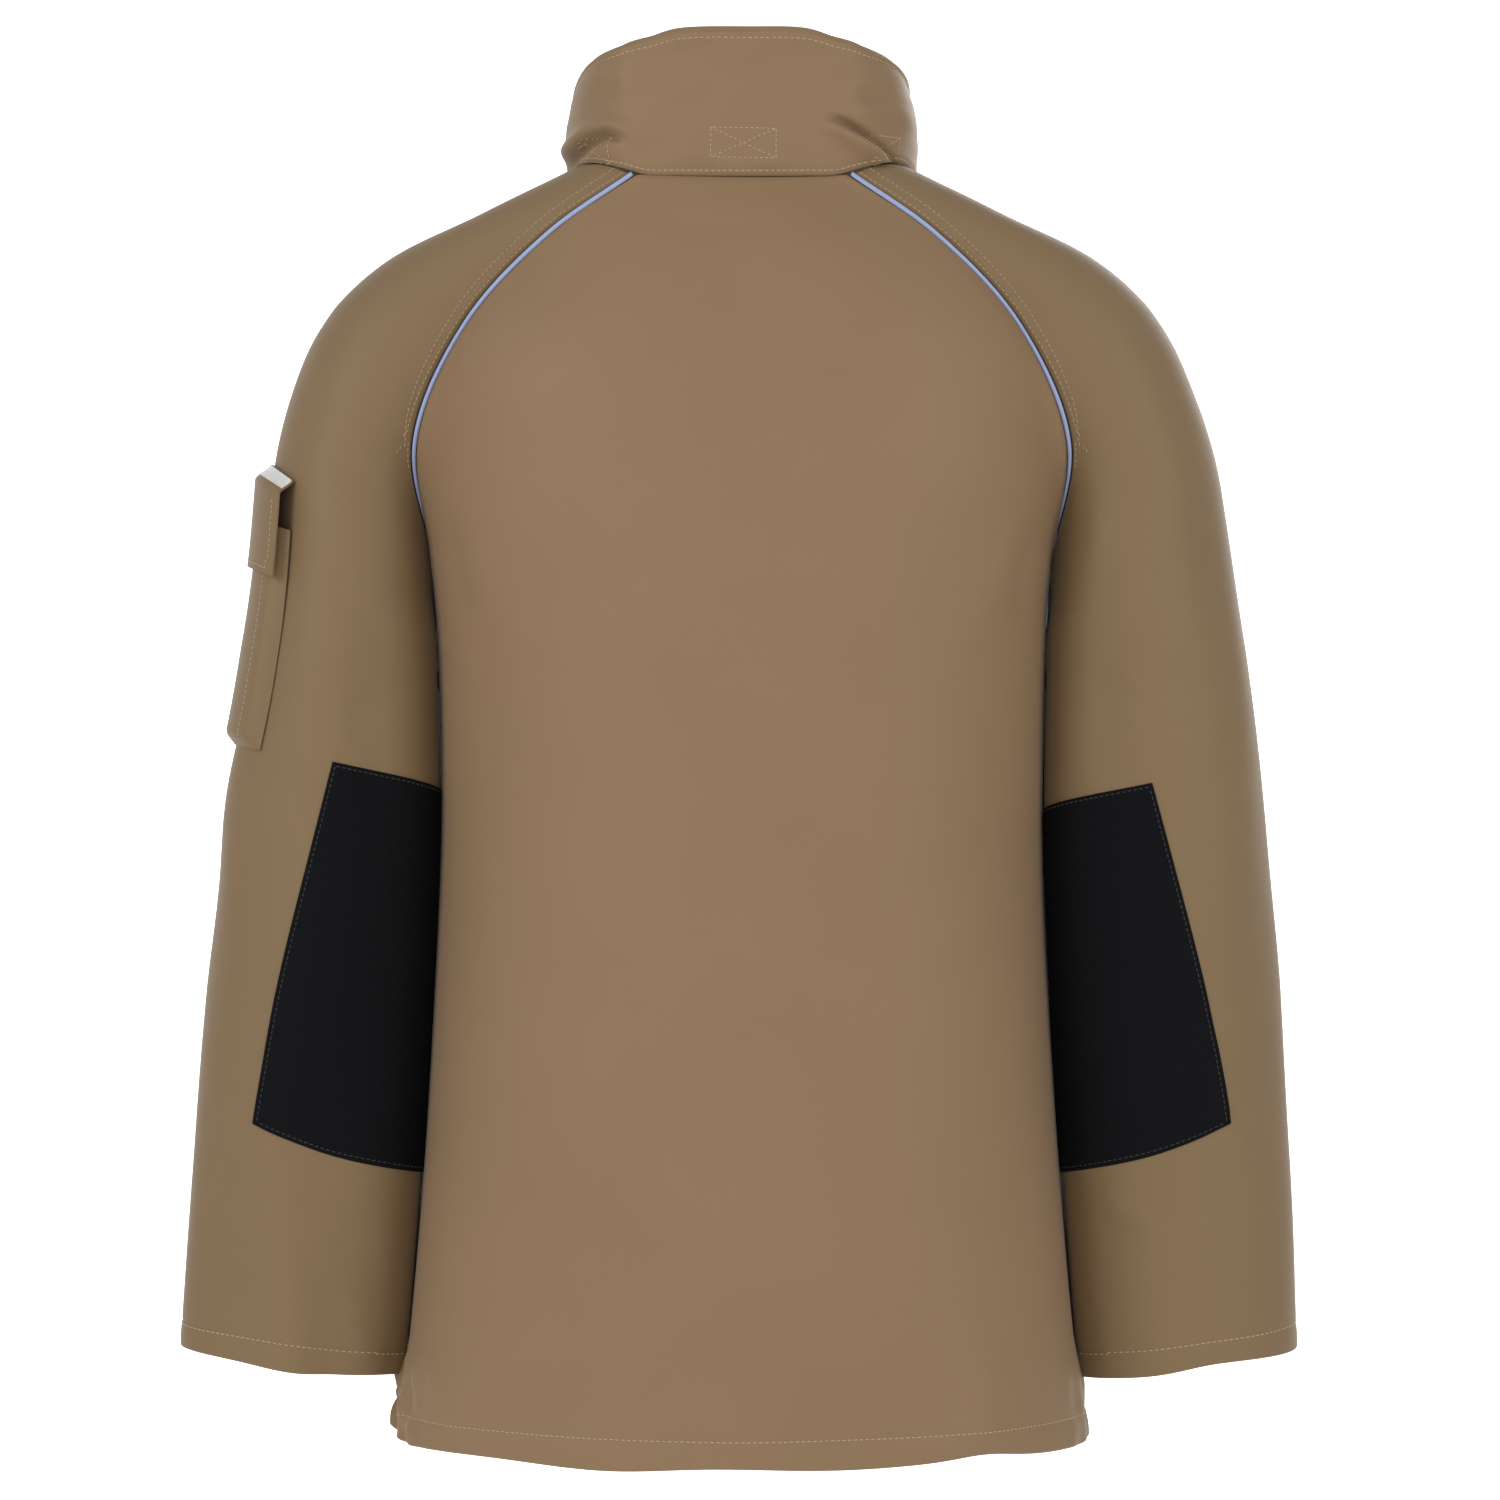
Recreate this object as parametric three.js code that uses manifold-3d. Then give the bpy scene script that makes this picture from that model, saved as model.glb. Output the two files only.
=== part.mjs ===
// A beekeeping jacket, empty and upright: raglan sleeves, stand collar, zipped front, elbow patches.
// Millimetres. The front faces -Y, the wearer's left is +X and +Z is up.
// The origin is the middle of the neck opening.
import * as THREE from "three";
import { mergeVertices } from "three/addons/utils/BufferGeometryUtils.js";
import Module from "manifold-3d";

const wasm = await Module();
wasm.setup();

// ---- Driving dimensions ----
const NECK_HEIGHT = 750; // the neck opening's middle above the hem
const FABRIC = 2; // outer cloth with its seam allowances
const GAP = 0.35; // clearance between neighbouring pieces
const FLATS = 1.4; // how far the flats of a faceted body panel lie inside its true curve
const PIPING_RADIUS = 1.6;

// Body
const HEM_HALF_WIDTH = 210;
const WAIST_HALF_WIDTH = 186;
const CHEST_HALF_WIDTH = 189;
const WAIST_HEIGHT = 400;
const SIDE_SEAM_TOP = 529;
const ARMPIT_HEIGHT = 537;
const BACK_DEPTH_HEM = 150;
const BACK_DEPTH_CHEST = 142;
const FRONT_DEPTH_HEM = 150;
const FRONT_NECK_HEIGHT = 712;
const FRONT_NECK_DEPTH = 95;
const BACK_NECK_HEIGHT = 771;
const BACK_NECK_DEPTH = 85;

// Collar
const COLLAR_BACK_HEIGHT = 90;
const COLLAR_SIDE_HEIGHT = 56;
const COLLAR_PADDING = 8;
const COLLAR_SIDE_LEAN = 0.04;

// Sleeves
const ELBOW_SHARE = 0.53; // how far down the sleeve the elbow lies
// The elbow patch's corners: shares round the sleeve (0.25 faces back) and down its length.
const PATCH = {
  outerTop: [0.262, 0.302],
  innerTop: [0.47, 0.322],
  outerBottom: [0.182, 0.738],
  innerBottom: [0.5, 0.78],
  lift: 0.7,
  thick: 1.4,
};
const CUFF_HEM = 16;
const WRIST_CUFF = { top: 0.9, squeeze: 24, thick: 1.6 };

// Front closure
const ZIP_EDGE = 6; // half the slit between the two front edges
const TAPE_WIDTH = 13;
const TAPE_THICK = 1;
const TAPE_DEPTH = 2.9; // how far the tape's front lies behind the cloth's face
const CHAIN_WIDTH = 2.2;
const CHAIN_THICK = 3;
const ZIP_POST = 1;
const TAPE_SPARE = 6; // how much longer the tape is than the chain
const BOTTOM_STOP = { side: 6, depth: 3.4 };
const SLIDER = { width: 9, height: 14, plate: 1.6 };
const PULLER = { width: 7, length: 34, thick: 1.6, window: 7.2, play: 0.5 };
const BRIDGE = { width: 2.4, length: 9, thick: 1.2 };
const STORM_FLAP = { left: 24, right: 22, lift: 4.6, thick: 2, root: 3 };
const HEM_FACING = 18;
const ZIP_BOTTOM = 24;

// Pockets: sizes in millimetres over the cloth they sit on
const POCKET_DEPTH = 10;
const POCKET_WALL = 2;
const HIP_SEAT = 0.5; // how far a sewn edge stands off the faceted cloth below it
const ARM_SEAT = 0.7;
const HIP_POCKET = { from: 50, to: 150, bottom: 70, mouth: 212, flapTop: 240, flapBottom: 190 };
const ARM_POCKET = { half: 0.105, mouth: 0.07, bottom: 0.305, flapTop: 0.02, flapBottom: 0.118 };
const FLAP_THICK = 2;
const GRIP_TAPE = 0.8;
const GRIP_PATCH = { width: 0.7, length: 0.036, inset: 0.004 }; // shares of the flap and of the sleeve
const REFLECTIVE_STRIP = { length: 0.016, thick: 0.8 };

// Grid steps
const LOWER_ROWS = 8;
const SEAM_ROWS = 12;
const ROWS = LOWER_ROWS + 1 + SEAM_ROWS;
const SLEEVE_SIDES = 18;

// ---- Materials ----
const finish = (color, roughness, metalness = 0) =>
  new THREE.MeshStandardMaterial({ color, roughness, metalness });
const KHAKI = finish(0x8b7559, 0.85);
const DARK_PATCH = finish(0x1c1d21, 0.8);
const PIPING = finish(0x8f9cb8, 0.7);
const LINING = finish(0x6f6250, 0.9);
const PADDING = finish(0xd8d2c4, 0.95);
const GRIP = finish(0x22211f, 0.95);
const REFLECTIVE = finish(0xe2e2de, 0.35);
const ELASTIC = finish(0x2c2a28, 0.9);
const ZIP_TAPE = finish(0x4d4536, 0.9);
const ZIP_METAL = finish(0x8d8778, 0.35, 1);

// ---- Small helpers ----
const { lerp, clamp, degToRad } = THREE.MathUtils;
const vec = (x, y, z) => new THREE.Vector3(x, y, z);
const jacket = new THREE.Group();
jacket.position.z = -NECK_HEIGHT;

// A number that varies smoothly with t from 0 to 1 through evenly spaced values.
function blendOf(values) {
  const curve = new THREE.CatmullRomCurve3(values.map((n) => vec(n, 0, 0)));
  return (t) => curve.getPoint(clamp(t, 0, 1)).x;
}

// A point that runs through evenly spaced points as t goes from 0 to 1.
function pathOf(points) {
  const curve = new THREE.CatmullRomCurve3(points.map((p) => vec(...p)));
  return (t) => curve.getPoint(clamp(t, 0, 1));
}

// A curved face given as a function of two parameters, with its outward normal.
class Face {
  static STEP = 0.004;
  constructor(at, turn) {
    this.at = at;
    this.turn = turn;
  }
  normal(u, v) {
    const across = this.at(u + Face.STEP, v).sub(this.at(u - Face.STEP, v));
    const along = this.at(u, v + Face.STEP).sub(this.at(u, v - Face.STEP));
    return across.cross(along).normalize().multiplyScalar(this.turn);
  }
  point(u, v, height) {
    return this.at(u, v).addScaledVector(this.normal(u, v), height);
  }
  // Millimetres covered per unit of u, measured just inside the point.
  speedU(u, v) {
    const inward = u - 0.02 * Math.sign(u || 1);
    return this.at(u, v).distanceTo(this.at(inward, v)) / 0.02;
  }
  // The change of u that stands off an edge by a distance square to that edge.
  inset(u, v, distance) {
    const across = this.at(u, v).sub(this.at(u - 0.02 * Math.sign(u), v)).normalize();
    const along = this.at(u, v + 0.01).sub(this.at(u, v - 0.01)).normalize();
    return distance / (this.speedU(u, v) * across.cross(along).length());
  }
  speedV(u, v) {
    return this.at(u, v + 0.01).distanceTo(this.at(u, v - 0.01)) / 0.02;
  }
}

const rangeAt = (range, v) => (typeof range === "function" ? range(v) : range);

// Moves every corner of a geometry, merges the shared ones and turns the faces outward.
function reshape(geometry, place) {
  const position = geometry.getAttribute("position");
  const corner = vec(0, 0, 0);
  for (let i = 0; i < position.count; i++) {
    const moved = place(corner.fromBufferAttribute(position, i));
    position.setXYZ(i, moved.x, moved.y, moved.z);
  }
  geometry.deleteAttribute("normal");
  geometry.deleteAttribute("uv");
  return facingOut(mergeVertices(geometry, 1e-3));
}

function signedVolume(geometry) {
  const position = geometry.getAttribute("position");
  const index = geometry.index.array;
  const [a, b, c] = [vec(0, 0, 0), vec(0, 0, 0), vec(0, 0, 0)];
  let sum = 0;
  for (let i = 0; i < index.length; i += 3) {
    a.fromBufferAttribute(position, index[i]);
    b.fromBufferAttribute(position, index[i + 1]);
    c.fromBufferAttribute(position, index[i + 2]);
    sum += a.dot(b.cross(c)) / 6;
  }
  return sum;
}

function facingOut(geometry) {
  if (signedVolume(geometry) < 0) {
    const index = geometry.index.array;
    for (let i = 0; i < index.length; i += 3) {
      [index[i + 1], index[i + 2]] = [index[i + 2], index[i + 1]];
    }
  }
  geometry.computeVertexNormals();
  return geometry;
}

// A slab laid on a face: u, v and h are its ranges across, along and above the face.
function slab(face, { u, v, h, nu, nv }) {
  const box = new THREE.BoxGeometry(1, 1, 1, nu, nv, 1);
  return reshape(box, (p) => {
    const along = lerp(v[0], v[1], p.y + 0.5);
    const [u0, u1] = rangeAt(u, along);
    const [h0, h1] = rangeAt(h, along);
    return face.point(lerp(u0, u1, p.x + 0.5), along, lerp(h0, h1, p.z + 0.5));
  });
}

// A closed band round a tubular face, whose u goes once round from 0 to 1.
function band(face, { v, h, nu = SLEEVE_SIDES, nv }) {
  const steps = Array.from({ length: nv + 1 }, (_, i) => i / nv);
  const inner = steps.map((s) => new THREE.Vector2(1, s));
  const outer = steps.map((s) => new THREE.Vector2(2, 1 - s));
  const lathe = new THREE.LatheGeometry([...inner, ...outer, inner[0]], nu);
  return reshape(lathe, (p) => {
    const along = lerp(v[0], v[1], p.y);
    const [h0, h1] = rangeAt(h, along);
    const turn = Math.atan2(p.x, p.z) / (2 * Math.PI);
    return face.point(turn, along, Math.hypot(p.x, p.z) > 1.5 ? h1 : h0);
  });
}

function brick(width, depth, height, x, y, z) {
  const box = new THREE.BoxGeometry(width, depth, height);
  return reshape(box, (p) => vec(p.x + x, p.y + y, p.z + z));
}

function solidOf(geometry) {
  return new wasm.Manifold(
    new wasm.Mesh({
      numProp: 3,
      vertProperties: new Float32Array(geometry.getAttribute("position").array),
      triVerts: new Uint32Array(geometry.index.array),
    }),
  );
}

function geometryOf(solid) {
  const made = solid.getMesh();
  const geometry = new THREE.BufferGeometry();
  geometry.setAttribute("position", new THREE.BufferAttribute(made.vertProperties, 3));
  geometry.setIndex(new THREE.BufferAttribute(made.triVerts, 1));
  geometry.computeVertexNormals();
  return geometry;
}

const join = (...pieces) => geometryOf(pieces.map(solidOf).reduce((sum, next) => sum.add(next)));

function add(name, geometry, material, parent = jacket) {
  const mesh = new THREE.Mesh(geometry, material);
  mesh.name = name;
  parent.add(mesh);
  return mesh;
}

const SIDES = [
  { name: "left", sign: 1 },
  { name: "right", sign: -1 },
];
const mirrored = (point, sign) => vec(point.x * sign, point.y, point.z);

// ---- Raglan shoulder: sections run from the neck (v = 0) to the armhole cut (v = 1) ----
const ARMHOLE_OUTER = [291.5, 0, 614.6]; // the cut's outermost point
const ridge = pathOf([[107, 8, 778], [162, 5, 757.5], [218, 2, 731], [262, 0, 683], ARMHOLE_OUTER]);
const backSeam = pathOf([
  [66, 78, 773], [118, 73, 737], [168, 64, 684], [200, 50, 612], [189, 12, ARMPIT_HEIGHT],
]);
const frontSeam = pathOf([
  [80, -66, 733], [122, -71, 706], [164, -66, 664], [197, -50, 606], [189, -12, ARMPIT_HEIGHT],
]);
const shoulderSpread = blendOf([75, 88, 105, 131, 170]);

function shoulderPoint(u, v) {
  const spread = degToRad(shoulderSpread(v));
  const back = backSeam(v);
  const front = frontSeam(v);
  const middle = back.clone().add(front).multiplyScalar(0.5);
  const half = back.clone().sub(front).multiplyScalar(0.5 / Math.sin(spread));
  const rise = ridge(v).sub(middle).divideScalar(1 - Math.cos(spread));
  const centre = ridge(v).sub(rise);
  return centre
    .addScaledVector(half, Math.sin(u * spread))
    .addScaledVector(rise, Math.cos(u * spread));
}

const shoulderFace = (sign) => new Face((u, v) => mirrored(shoulderPoint(u, v), sign), -sign);

// The seam's cloth edges stand off the piping that runs between them.
const SEAM_PLAY = 0.15; // the bead's facets bulge past its radius where the seam bends
const PIPED_EDGE = PIPING_RADIUS + GAP + SEAM_PLAY;

function makeShoulder({ name, sign }) {
  const face = shoulderFace(sign);
  const reach = (v) => [
    -1 + face.inset(-1, v, PIPED_EDGE),
    1 - face.inset(1, v, PIPED_EDGE),
  ];
  const trim = (2 * GAP) / face.speedV(0, 0.5);
  add(
    `raglan_shoulder_${name}`,
    slab(face, { u: reach, v: [trim, 1 - trim], h: [-FABRIC, 0], nu: 12, nv: SEAM_ROWS }),
    KHAKI,
  );
}

// Piping: a round bead along one raglan seam, from collar to armpit.
function makePiping({ name, sign }, where, edge) {
  const face = shoulderFace(sign);
  const bead = new THREE.CylinderGeometry(PIPING_RADIUS, PIPING_RADIUS, 1, 6, SEAM_ROWS);
  const end = (PIPING_RADIUS + 2 * GAP) / face.speedV(edge, 0.95);
  const geometry = reshape(bead, (p) => {
    const v = lerp(GAP / face.speedV(edge, 0.05), 1 - end, p.y + 0.5);
    const tangent = face.at(edge, v + 0.01).sub(face.at(edge, v - 0.01)).normalize();
    const out = face.normal(edge, v);
    const aside = tangent.clone().cross(out).normalize();
    return face.point(edge, v, -FABRIC / 4).addScaledVector(out, p.x).addScaledVector(aside, p.z);
  });
  add(`piping_${where}_${name}`, geometry, PIPING);
}

// ---- Body panels: rows run from the hem (v = 0) to the neck (v = 1) ----
function halfWidth(z) {
  if (z < WAIST_HEIGHT) {
    const drop = 1 - z / WAIST_HEIGHT;
    return WAIST_HALF_WIDTH + (HEM_HALF_WIDTH - WAIST_HALF_WIDTH) * drop ** 1.5;
  }
  const rise = (z - WAIST_HEIGHT) / (SIDE_SEAM_TOP - WAIST_HEIGHT);
  return lerp(WAIST_HALF_WIDTH, CHEST_HALF_WIDTH, rise);
}

const upperBack = pathOf([
  [0, BACK_NECK_DEPTH, BACK_NECK_HEIGHT], [0, 108, 735], [0, 127, 684], [0, 139, 612],
  [0, BACK_DEPTH_CHEST, ARMPIT_HEIGHT],
]);
const FRONT_LEAN = (FRONT_DEPTH_HEM - FRONT_NECK_DEPTH) / FRONT_NECK_HEIGHT;
const frontLine = (z) => -FRONT_DEPTH_HEM + FRONT_LEAN * z;
const panelSpread = blendOf([42, 50, 62, 78, 90]);

function rowAt(index, seam, centreAt) {
  if (index <= LOWER_ROWS) {
    const z = (index / LOWER_ROWS) * SIDE_SEAM_TOP;
    return { edge: vec(halfWidth(z), 0, z), centre: centreAt(z, null), spread: 90 };
  }
  const v = 1 - (index - LOWER_ROWS - 1) / SEAM_ROWS;
  const edge = seam(v);
  return { edge, centre: centreAt(edge.z, v), spread: panelSpread(v) };
}

function panelRow(v, seam, centreAt) {
  const place = clamp(v, 0, 1) * ROWS;
  const low = Math.min(Math.floor(place), ROWS - 1);
  const share = place - low;
  const [a, b] = [rowAt(low, seam, centreAt), rowAt(low + 1, seam, centreAt)];
  return {
    edge: a.edge.lerp(b.edge, share),
    centre: a.centre.lerp(b.centre, share),
    spread: degToRad(lerp(a.spread, b.spread, share)),
  };
}

function panelPoint(u, v, seam, centreAt, middle) {
  const { edge, centre, spread } = panelRow(v, seam, centreAt);
  const lift = (Math.cos(u * spread) - Math.cos(spread)) / (1 - Math.cos(spread));
  const out = Math.sin(u * spread) / Math.sin(spread);
  return vec(
    middle + (edge.x - middle) * out,
    lerp(edge.y, centre.y, lift),
    lerp(edge.z, centre.z, lift),
  );
}

function backCentre(z, v) {
  if (v === null) return vec(0, lerp(BACK_DEPTH_HEM, BACK_DEPTH_CHEST, z / SIDE_SEAM_TOP), z);
  return upperBack(v);
}

function frontCentre(z, v) {
  if (v === null) return vec(0, frontLine(z), z);
  const share = (z - ARMPIT_HEIGHT) / (frontSeam(0).z - ARMPIT_HEIGHT);
  const height = lerp(ARMPIT_HEIGHT, FRONT_NECK_HEIGHT, share);
  return vec(0, frontLine(height), height);
}

const backPoint = (u, v) => {
  const point = panelPoint(Math.abs(u), v, backSeam, backCentre, 0);
  return mirrored(point, Math.sign(u) || 1);
};
const frontPoint = (u, v) => panelPoint(u, v, frontSeam, frontCentre, ZIP_EDGE);
const backFace = new Face(backPoint, -1);
const frontFace = (sign) => new Face((u, v) => mirrored(frontPoint(u, v), sign), sign);
const edgeGap = (v) => (v * ROWS > LOWER_ROWS + 0.5 ? PIPED_EDGE : GAP);

function makeBack() {
  const reach = (v) => {
    const edge = 1 - backFace.inset(1, v, edgeGap(v));
    return [-edge, edge];
  };
  const top = 1 - GAP / backFace.speedV(0, 0.9);
  const panel = slab(backFace, { u: reach, v: [0, top], h: [-FABRIC, 0], nu: 14, nv: ROWS });
  add("back_panel", panel, KHAKI);
}

function makeFront({ name, sign }) {
  const face = frontFace(sign);
  const reach = (v) => [0, 1 - face.inset(1, v, edgeGap(v))];
  const top = 1 - GAP / face.speedV(0, 0.9);
  const panel = slab(face, { u: reach, v: [0, top], h: [-FABRIC, 0], nu: 10, nv: ROWS });
  add(`front_panel_${name}`, panel, KHAKI);
}

// ---- Sleeves: sections run from the armhole cut (v = 0) to the cuff (v = 1) ----
// z and y place each section's middle, out and rise reach to its outer point, back is half its depth,
// and clear is the way between the body's side and the sleeve's inner point.
const ARMHOLE = { x: 240.5, y: 0, z: 576, out: 51, rise: 38.6, back: 69 };
const SLEEVE_SECTIONS = [
  ARMHOLE,
  { clear: 3.4, y: -2, z: 470, out: 58, rise: 16, back: 72 },
  { clear: 5.5, y: -5, z: 370, out: 64, rise: 8, back: 71 },
  { clear: 4.6, y: -8, z: 270, out: 69, rise: 7, back: 68 },
  { clear: 5.7, y: -12, z: 160, out: 69, rise: 7.5, back: 64 },
  { clear: 8.9, y: -18, z: 50, out: 67, rise: 8, back: 60 },
];
const middleOf = ({ x, clear, out, y, z }) => [x ?? halfWidth(z) + clear + out, y, z];
const sleeveCentre = pathOf(SLEEVE_SECTIONS.map(middleOf));
const sleeveOut = pathOf(SLEEVE_SECTIONS.map(({ out, rise }) => [out, 0, rise]));
const sleeveBack = blendOf(SLEEVE_SECTIONS.map(({ back }) => back));

// u = 0 faces outward, a quarter turn on faces back.
function sleevePoint(u, v) {
  const angle = u * 2 * Math.PI;
  const point = sleeveCentre(v).addScaledVector(sleeveOut(v), Math.cos(angle));
  point.y += sleeveBack(v) * Math.sin(angle);
  return point;
}

const sleeveFace = (sign) => new Face((u, v) => mirrored(sleevePoint(u, v), sign), -sign);
const SLEEVE_TRIM = 0.002; // share of the sleeve left free at the armhole and the elbow cuts

function makeSleeve({ name, sign }) {
  const face = sleeveFace(sign);
  const skin = [-FABRIC, 0];
  add(
    `upper_sleeve_${name}`,
    band(face, { v: [SLEEVE_TRIM, ELBOW_SHARE - SLEEVE_TRIM / 2], h: skin, nv: 7 }),
    KHAKI,
  );
  const lower = band(face, { v: [ELBOW_SHARE + SLEEVE_TRIM / 2, 1], h: skin, nv: 6 });
  add(`lower_sleeve_${name}`, lower, KHAKI);
  const length = face.speedV(0, 0.9);
  const inside = -FABRIC - GAP;
  add(
    `cuff_facing_${name}`,
    band(face, { v: [1 - CUFF_HEM / length, 0.999], h: [inside - FABRIC, inside], nv: 1 }),
    KHAKI,
  );
  const squeeze = (v) => {
    const share = (v - WRIST_CUFF.top) / (1 - CUFF_HEM / length - WRIST_CUFF.top);
    const outer = inside - WRIST_CUFF.squeeze * clamp(share * 1.15, 0, 1);
    return [outer - WRIST_CUFF.thick, outer];
  };
  const wristEnd = 1 - (CUFF_HEM + 1) / length;
  const wrist = band(face, { v: [WRIST_CUFF.top, wristEnd], h: squeeze, nv: 3 });
  add(`wrist_cuff_${name}`, wrist, ELASTIC);
  makeElbowPatch(name, face);
}

// The patch lies aslant over the back of the elbow and rides on the forearm.
function makeElbowPatch(name, face) {
  const { outerTop, innerTop, outerBottom, innerBottom, lift, thick } = PATCH;
  const corner = (i, a, b) =>
    lerp(lerp(outerTop[i], innerTop[i], a), lerp(outerBottom[i], innerBottom[i], a), b);
  const cover = new Face((a, b) => face.at(corner(0, a, b), corner(1, a, b)), face.turn);
  const shape = { u: [0, 1], v: [0, 1], h: [lift, lift + thick], nu: 12, nv: 10 };
  add(`elbow_patch_${name}`, slab(cover, shape), DARK_PATCH);
}

// ---- Pockets ----
// A patch pocket open at the top: front wall, two sides and a bottom on a face.
function pouch(face, across, mouth, bottom, seat) {
  const [u0, u1] = across(bottom);
  const wallU = POCKET_WALL / face.speedU((u0 + u1) / 2, bottom);
  const left = (v) => [across(v)[0], across(v)[0] + wallU];
  const right = (v) => [across(v)[1] - wallU, across(v)[1]];
  const wallV = (POCKET_WALL / face.speedV(u0, bottom)) * Math.sign(bottom - mouth);
  const full = [seat, POCKET_DEPTH];
  const wall = [POCKET_DEPTH - POCKET_WALL, POCKET_DEPTH];
  return join(
    slab(face, { u: across, v: [mouth, bottom], h: wall, nu: 8, nv: 4 }),
    slab(face, { u: left, v: [mouth, bottom], h: full, nu: 1, nv: 4 }),
    slab(face, { u: right, v: [mouth, bottom], h: full, nu: 1, nv: 4 }),
    slab(face, { u: across, v: [bottom - wallV, bottom], h: full, nu: 8, nv: 1 }),
  );
}

// A flap that hangs over the pouch from a root sewn to the face above it.
function flap(face, across, top, bottom, seat, under) {
  const root = ((FLAP_THICK + 1) / face.speedV(across(top)[0], top)) * Math.sign(bottom - top);
  return join(
    slab(face, { u: across, v: [top, bottom], h: [under, under + FLAP_THICK], nu: 8, nv: 3 }),
    slab(face, { u: across, v: [top, top + root], h: [seat, under + FLAP_THICK], nu: 8, nv: 1 }),
  );
}

const FLAP_UNDER = POCKET_DEPTH + 2 * GRIP_TAPE + 3 * GAP;
const TAPE_ON_POCKET = [POCKET_DEPTH + GAP, POCKET_DEPTH + GAP + GRIP_TAPE];
const TAPE_ON_FLAP = [FLAP_UNDER - GAP - GRIP_TAPE, FLAP_UNDER - GAP];

function makeArmPocket() {
  const face = sleeveFace(1);
  const { half, mouth, bottom, flapTop, flapBottom } = ARM_POCKET;
  const across = () => [-half, half];
  add("sleeve_pocket", pouch(face, across, mouth, bottom, ARM_SEAT), KHAKI);
  add("sleeve_pocket_flap", flap(face, across, flapTop, flapBottom, ARM_SEAT, FLAP_UNDER), KHAKI);
  const gripHalf = half * GRIP_PATCH.width;
  const low = flapBottom - GRIP_PATCH.inset;
  const grip = { u: [-gripHalf, gripHalf], v: [low - GRIP_PATCH.length, low], nu: 6, nv: 1 };
  add("sleeve_pocket_loop_tape", slab(face, { ...grip, h: TAPE_ON_POCKET }), GRIP);
  add("sleeve_pocket_hook_tape", slab(face, { ...grip, h: TAPE_ON_FLAP }), GRIP);
  const over = FLAP_UNDER + FLAP_THICK + GAP;
  const strip = {
    u: across(),
    v: [flapTop, flapTop + REFLECTIVE_STRIP.length],
    h: [over, over + REFLECTIVE_STRIP.thick],
    nu: 8,
    nv: 1,
  };
  add("sleeve_pocket_reflective_strip", slab(face, strip), REFLECTIVE);
}

const rowShare = (z) => ((z / SIDE_SEAM_TOP) * LOWER_ROWS) / ROWS;

// The u of the front panel that lies at a distance x from the centre line on the row v.
function frontShare(x, v) {
  const { edge, spread } = panelRow(v, frontSeam, frontCentre);
  return Math.asin(((x - ZIP_EDGE) / (edge.x - ZIP_EDGE)) * Math.sin(spread)) / spread;
}

function makeHipPocket({ name, sign }) {
  const face = frontFace(sign);
  const { from, to, bottom, mouth, flapTop, flapBottom } = HIP_POCKET;
  const across = (v) => [frontShare(from, v), frontShare(to, v)];
  const body = pouch(face, across, rowShare(mouth), rowShare(bottom), HIP_SEAT);
  add(`hip_pocket_${name}`, body, KHAKI);
  const [top, low] = [rowShare(flapTop), rowShare(flapBottom)];
  const cover = flap(face, across, top, low, HIP_SEAT, POCKET_DEPTH + 2 * GAP);
  add(`hip_pocket_flap_${name}`, cover, KHAKI);
}

// ---- Collar: u runs from the right front edge over the back to the left front edge ----
const BACK_PART = 0.3;
const SHOULDER_PART = 0.7;

function neckPoint(share) {
  if (share < BACK_PART) return backPoint(share / BACK_PART, 1);
  if (share < SHOULDER_PART) {
    return shoulderPoint(1 - (2 * (share - BACK_PART)) / (SHOULDER_PART - BACK_PART), 0);
  }
  return frontPoint(1 - (share - SHOULDER_PART) / (1 - SHOULDER_PART), 1);
}

const NECK_STEPS = 12;
const neckHalf = Array.from({ length: NECK_STEPS + 1 }, (_, i) => neckPoint(i / NECK_STEPS));
const neckRing = [
  ...neckHalf.slice(1).reverse().map((p) => [-p.x, p.y, p.z]),
  ...neckHalf.map((p) => [p.x, p.y, p.z]),
];
const neckLine = pathOf(neckRing);

function collarPoint(u, v) {
  const base = neckLine((u + 1) / 2);
  const turn = Math.cos(2 * Math.PI * u);
  const height = lerp(COLLAR_SIDE_HEIGHT, COLLAR_BACK_HEIGHT, (1 + turn) / 2);
  const top = base.clone();
  top.x *= 1 - COLLAR_SIDE_LEAN * Math.sin(Math.PI * Math.min(Math.abs(u), 1));
  top.y -= FRONT_LEAN * height * (base.y / FRONT_NECK_DEPTH);
  top.z += height;
  return base.lerp(top, v);
}

const collarFace = new Face(collarPoint, -1);
const COLLAR_FOOT = 0.014;
const COLLAR_BACKING = 0.9; // the padding and lining stop short of the zip
const PADDING_TOP = 0.97;

function makeCollar() {
  const foot = [COLLAR_FOOT, 1];
  const under = -FABRIC - GAP;
  const inner = under - COLLAR_PADDING - GAP;
  const shell = slab(collarFace, { u: [-1, 1], v: foot, h: [-FABRIC, 0], nu: 40, nv: 2 });
  add("collar_outer", shell, KHAKI);
  const short = { u: [-COLLAR_BACKING, COLLAR_BACKING], nu: 36, nv: 2 };
  const fill = { ...short, v: [COLLAR_FOOT, PADDING_TOP], h: [under - COLLAR_PADDING, under] };
  add("collar_padding", slab(collarFace, fill), PADDING);
  const lining = { ...short, v: foot, h: [inner - FABRIC, inner] };
  add("collar_inner", slab(collarFace, lining), LINING);
  makeVeilPads(inner - FABRIC);
  makeHangLoop(inner);
}

// Flat hook-and-loop pads on the collar lining, where a veil fastens.
const VEIL_PAD = { width: 34, height: 26, thick: 1.6, level: 0.5 };
const VEIL_PAD_PLACES = [
  { where: "back", u: 0, stand: 0.85 },
  { where: "left", u: 0.4, stand: 1.2 },
  { where: "right", u: -0.4, stand: 1.2 },
];

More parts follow.
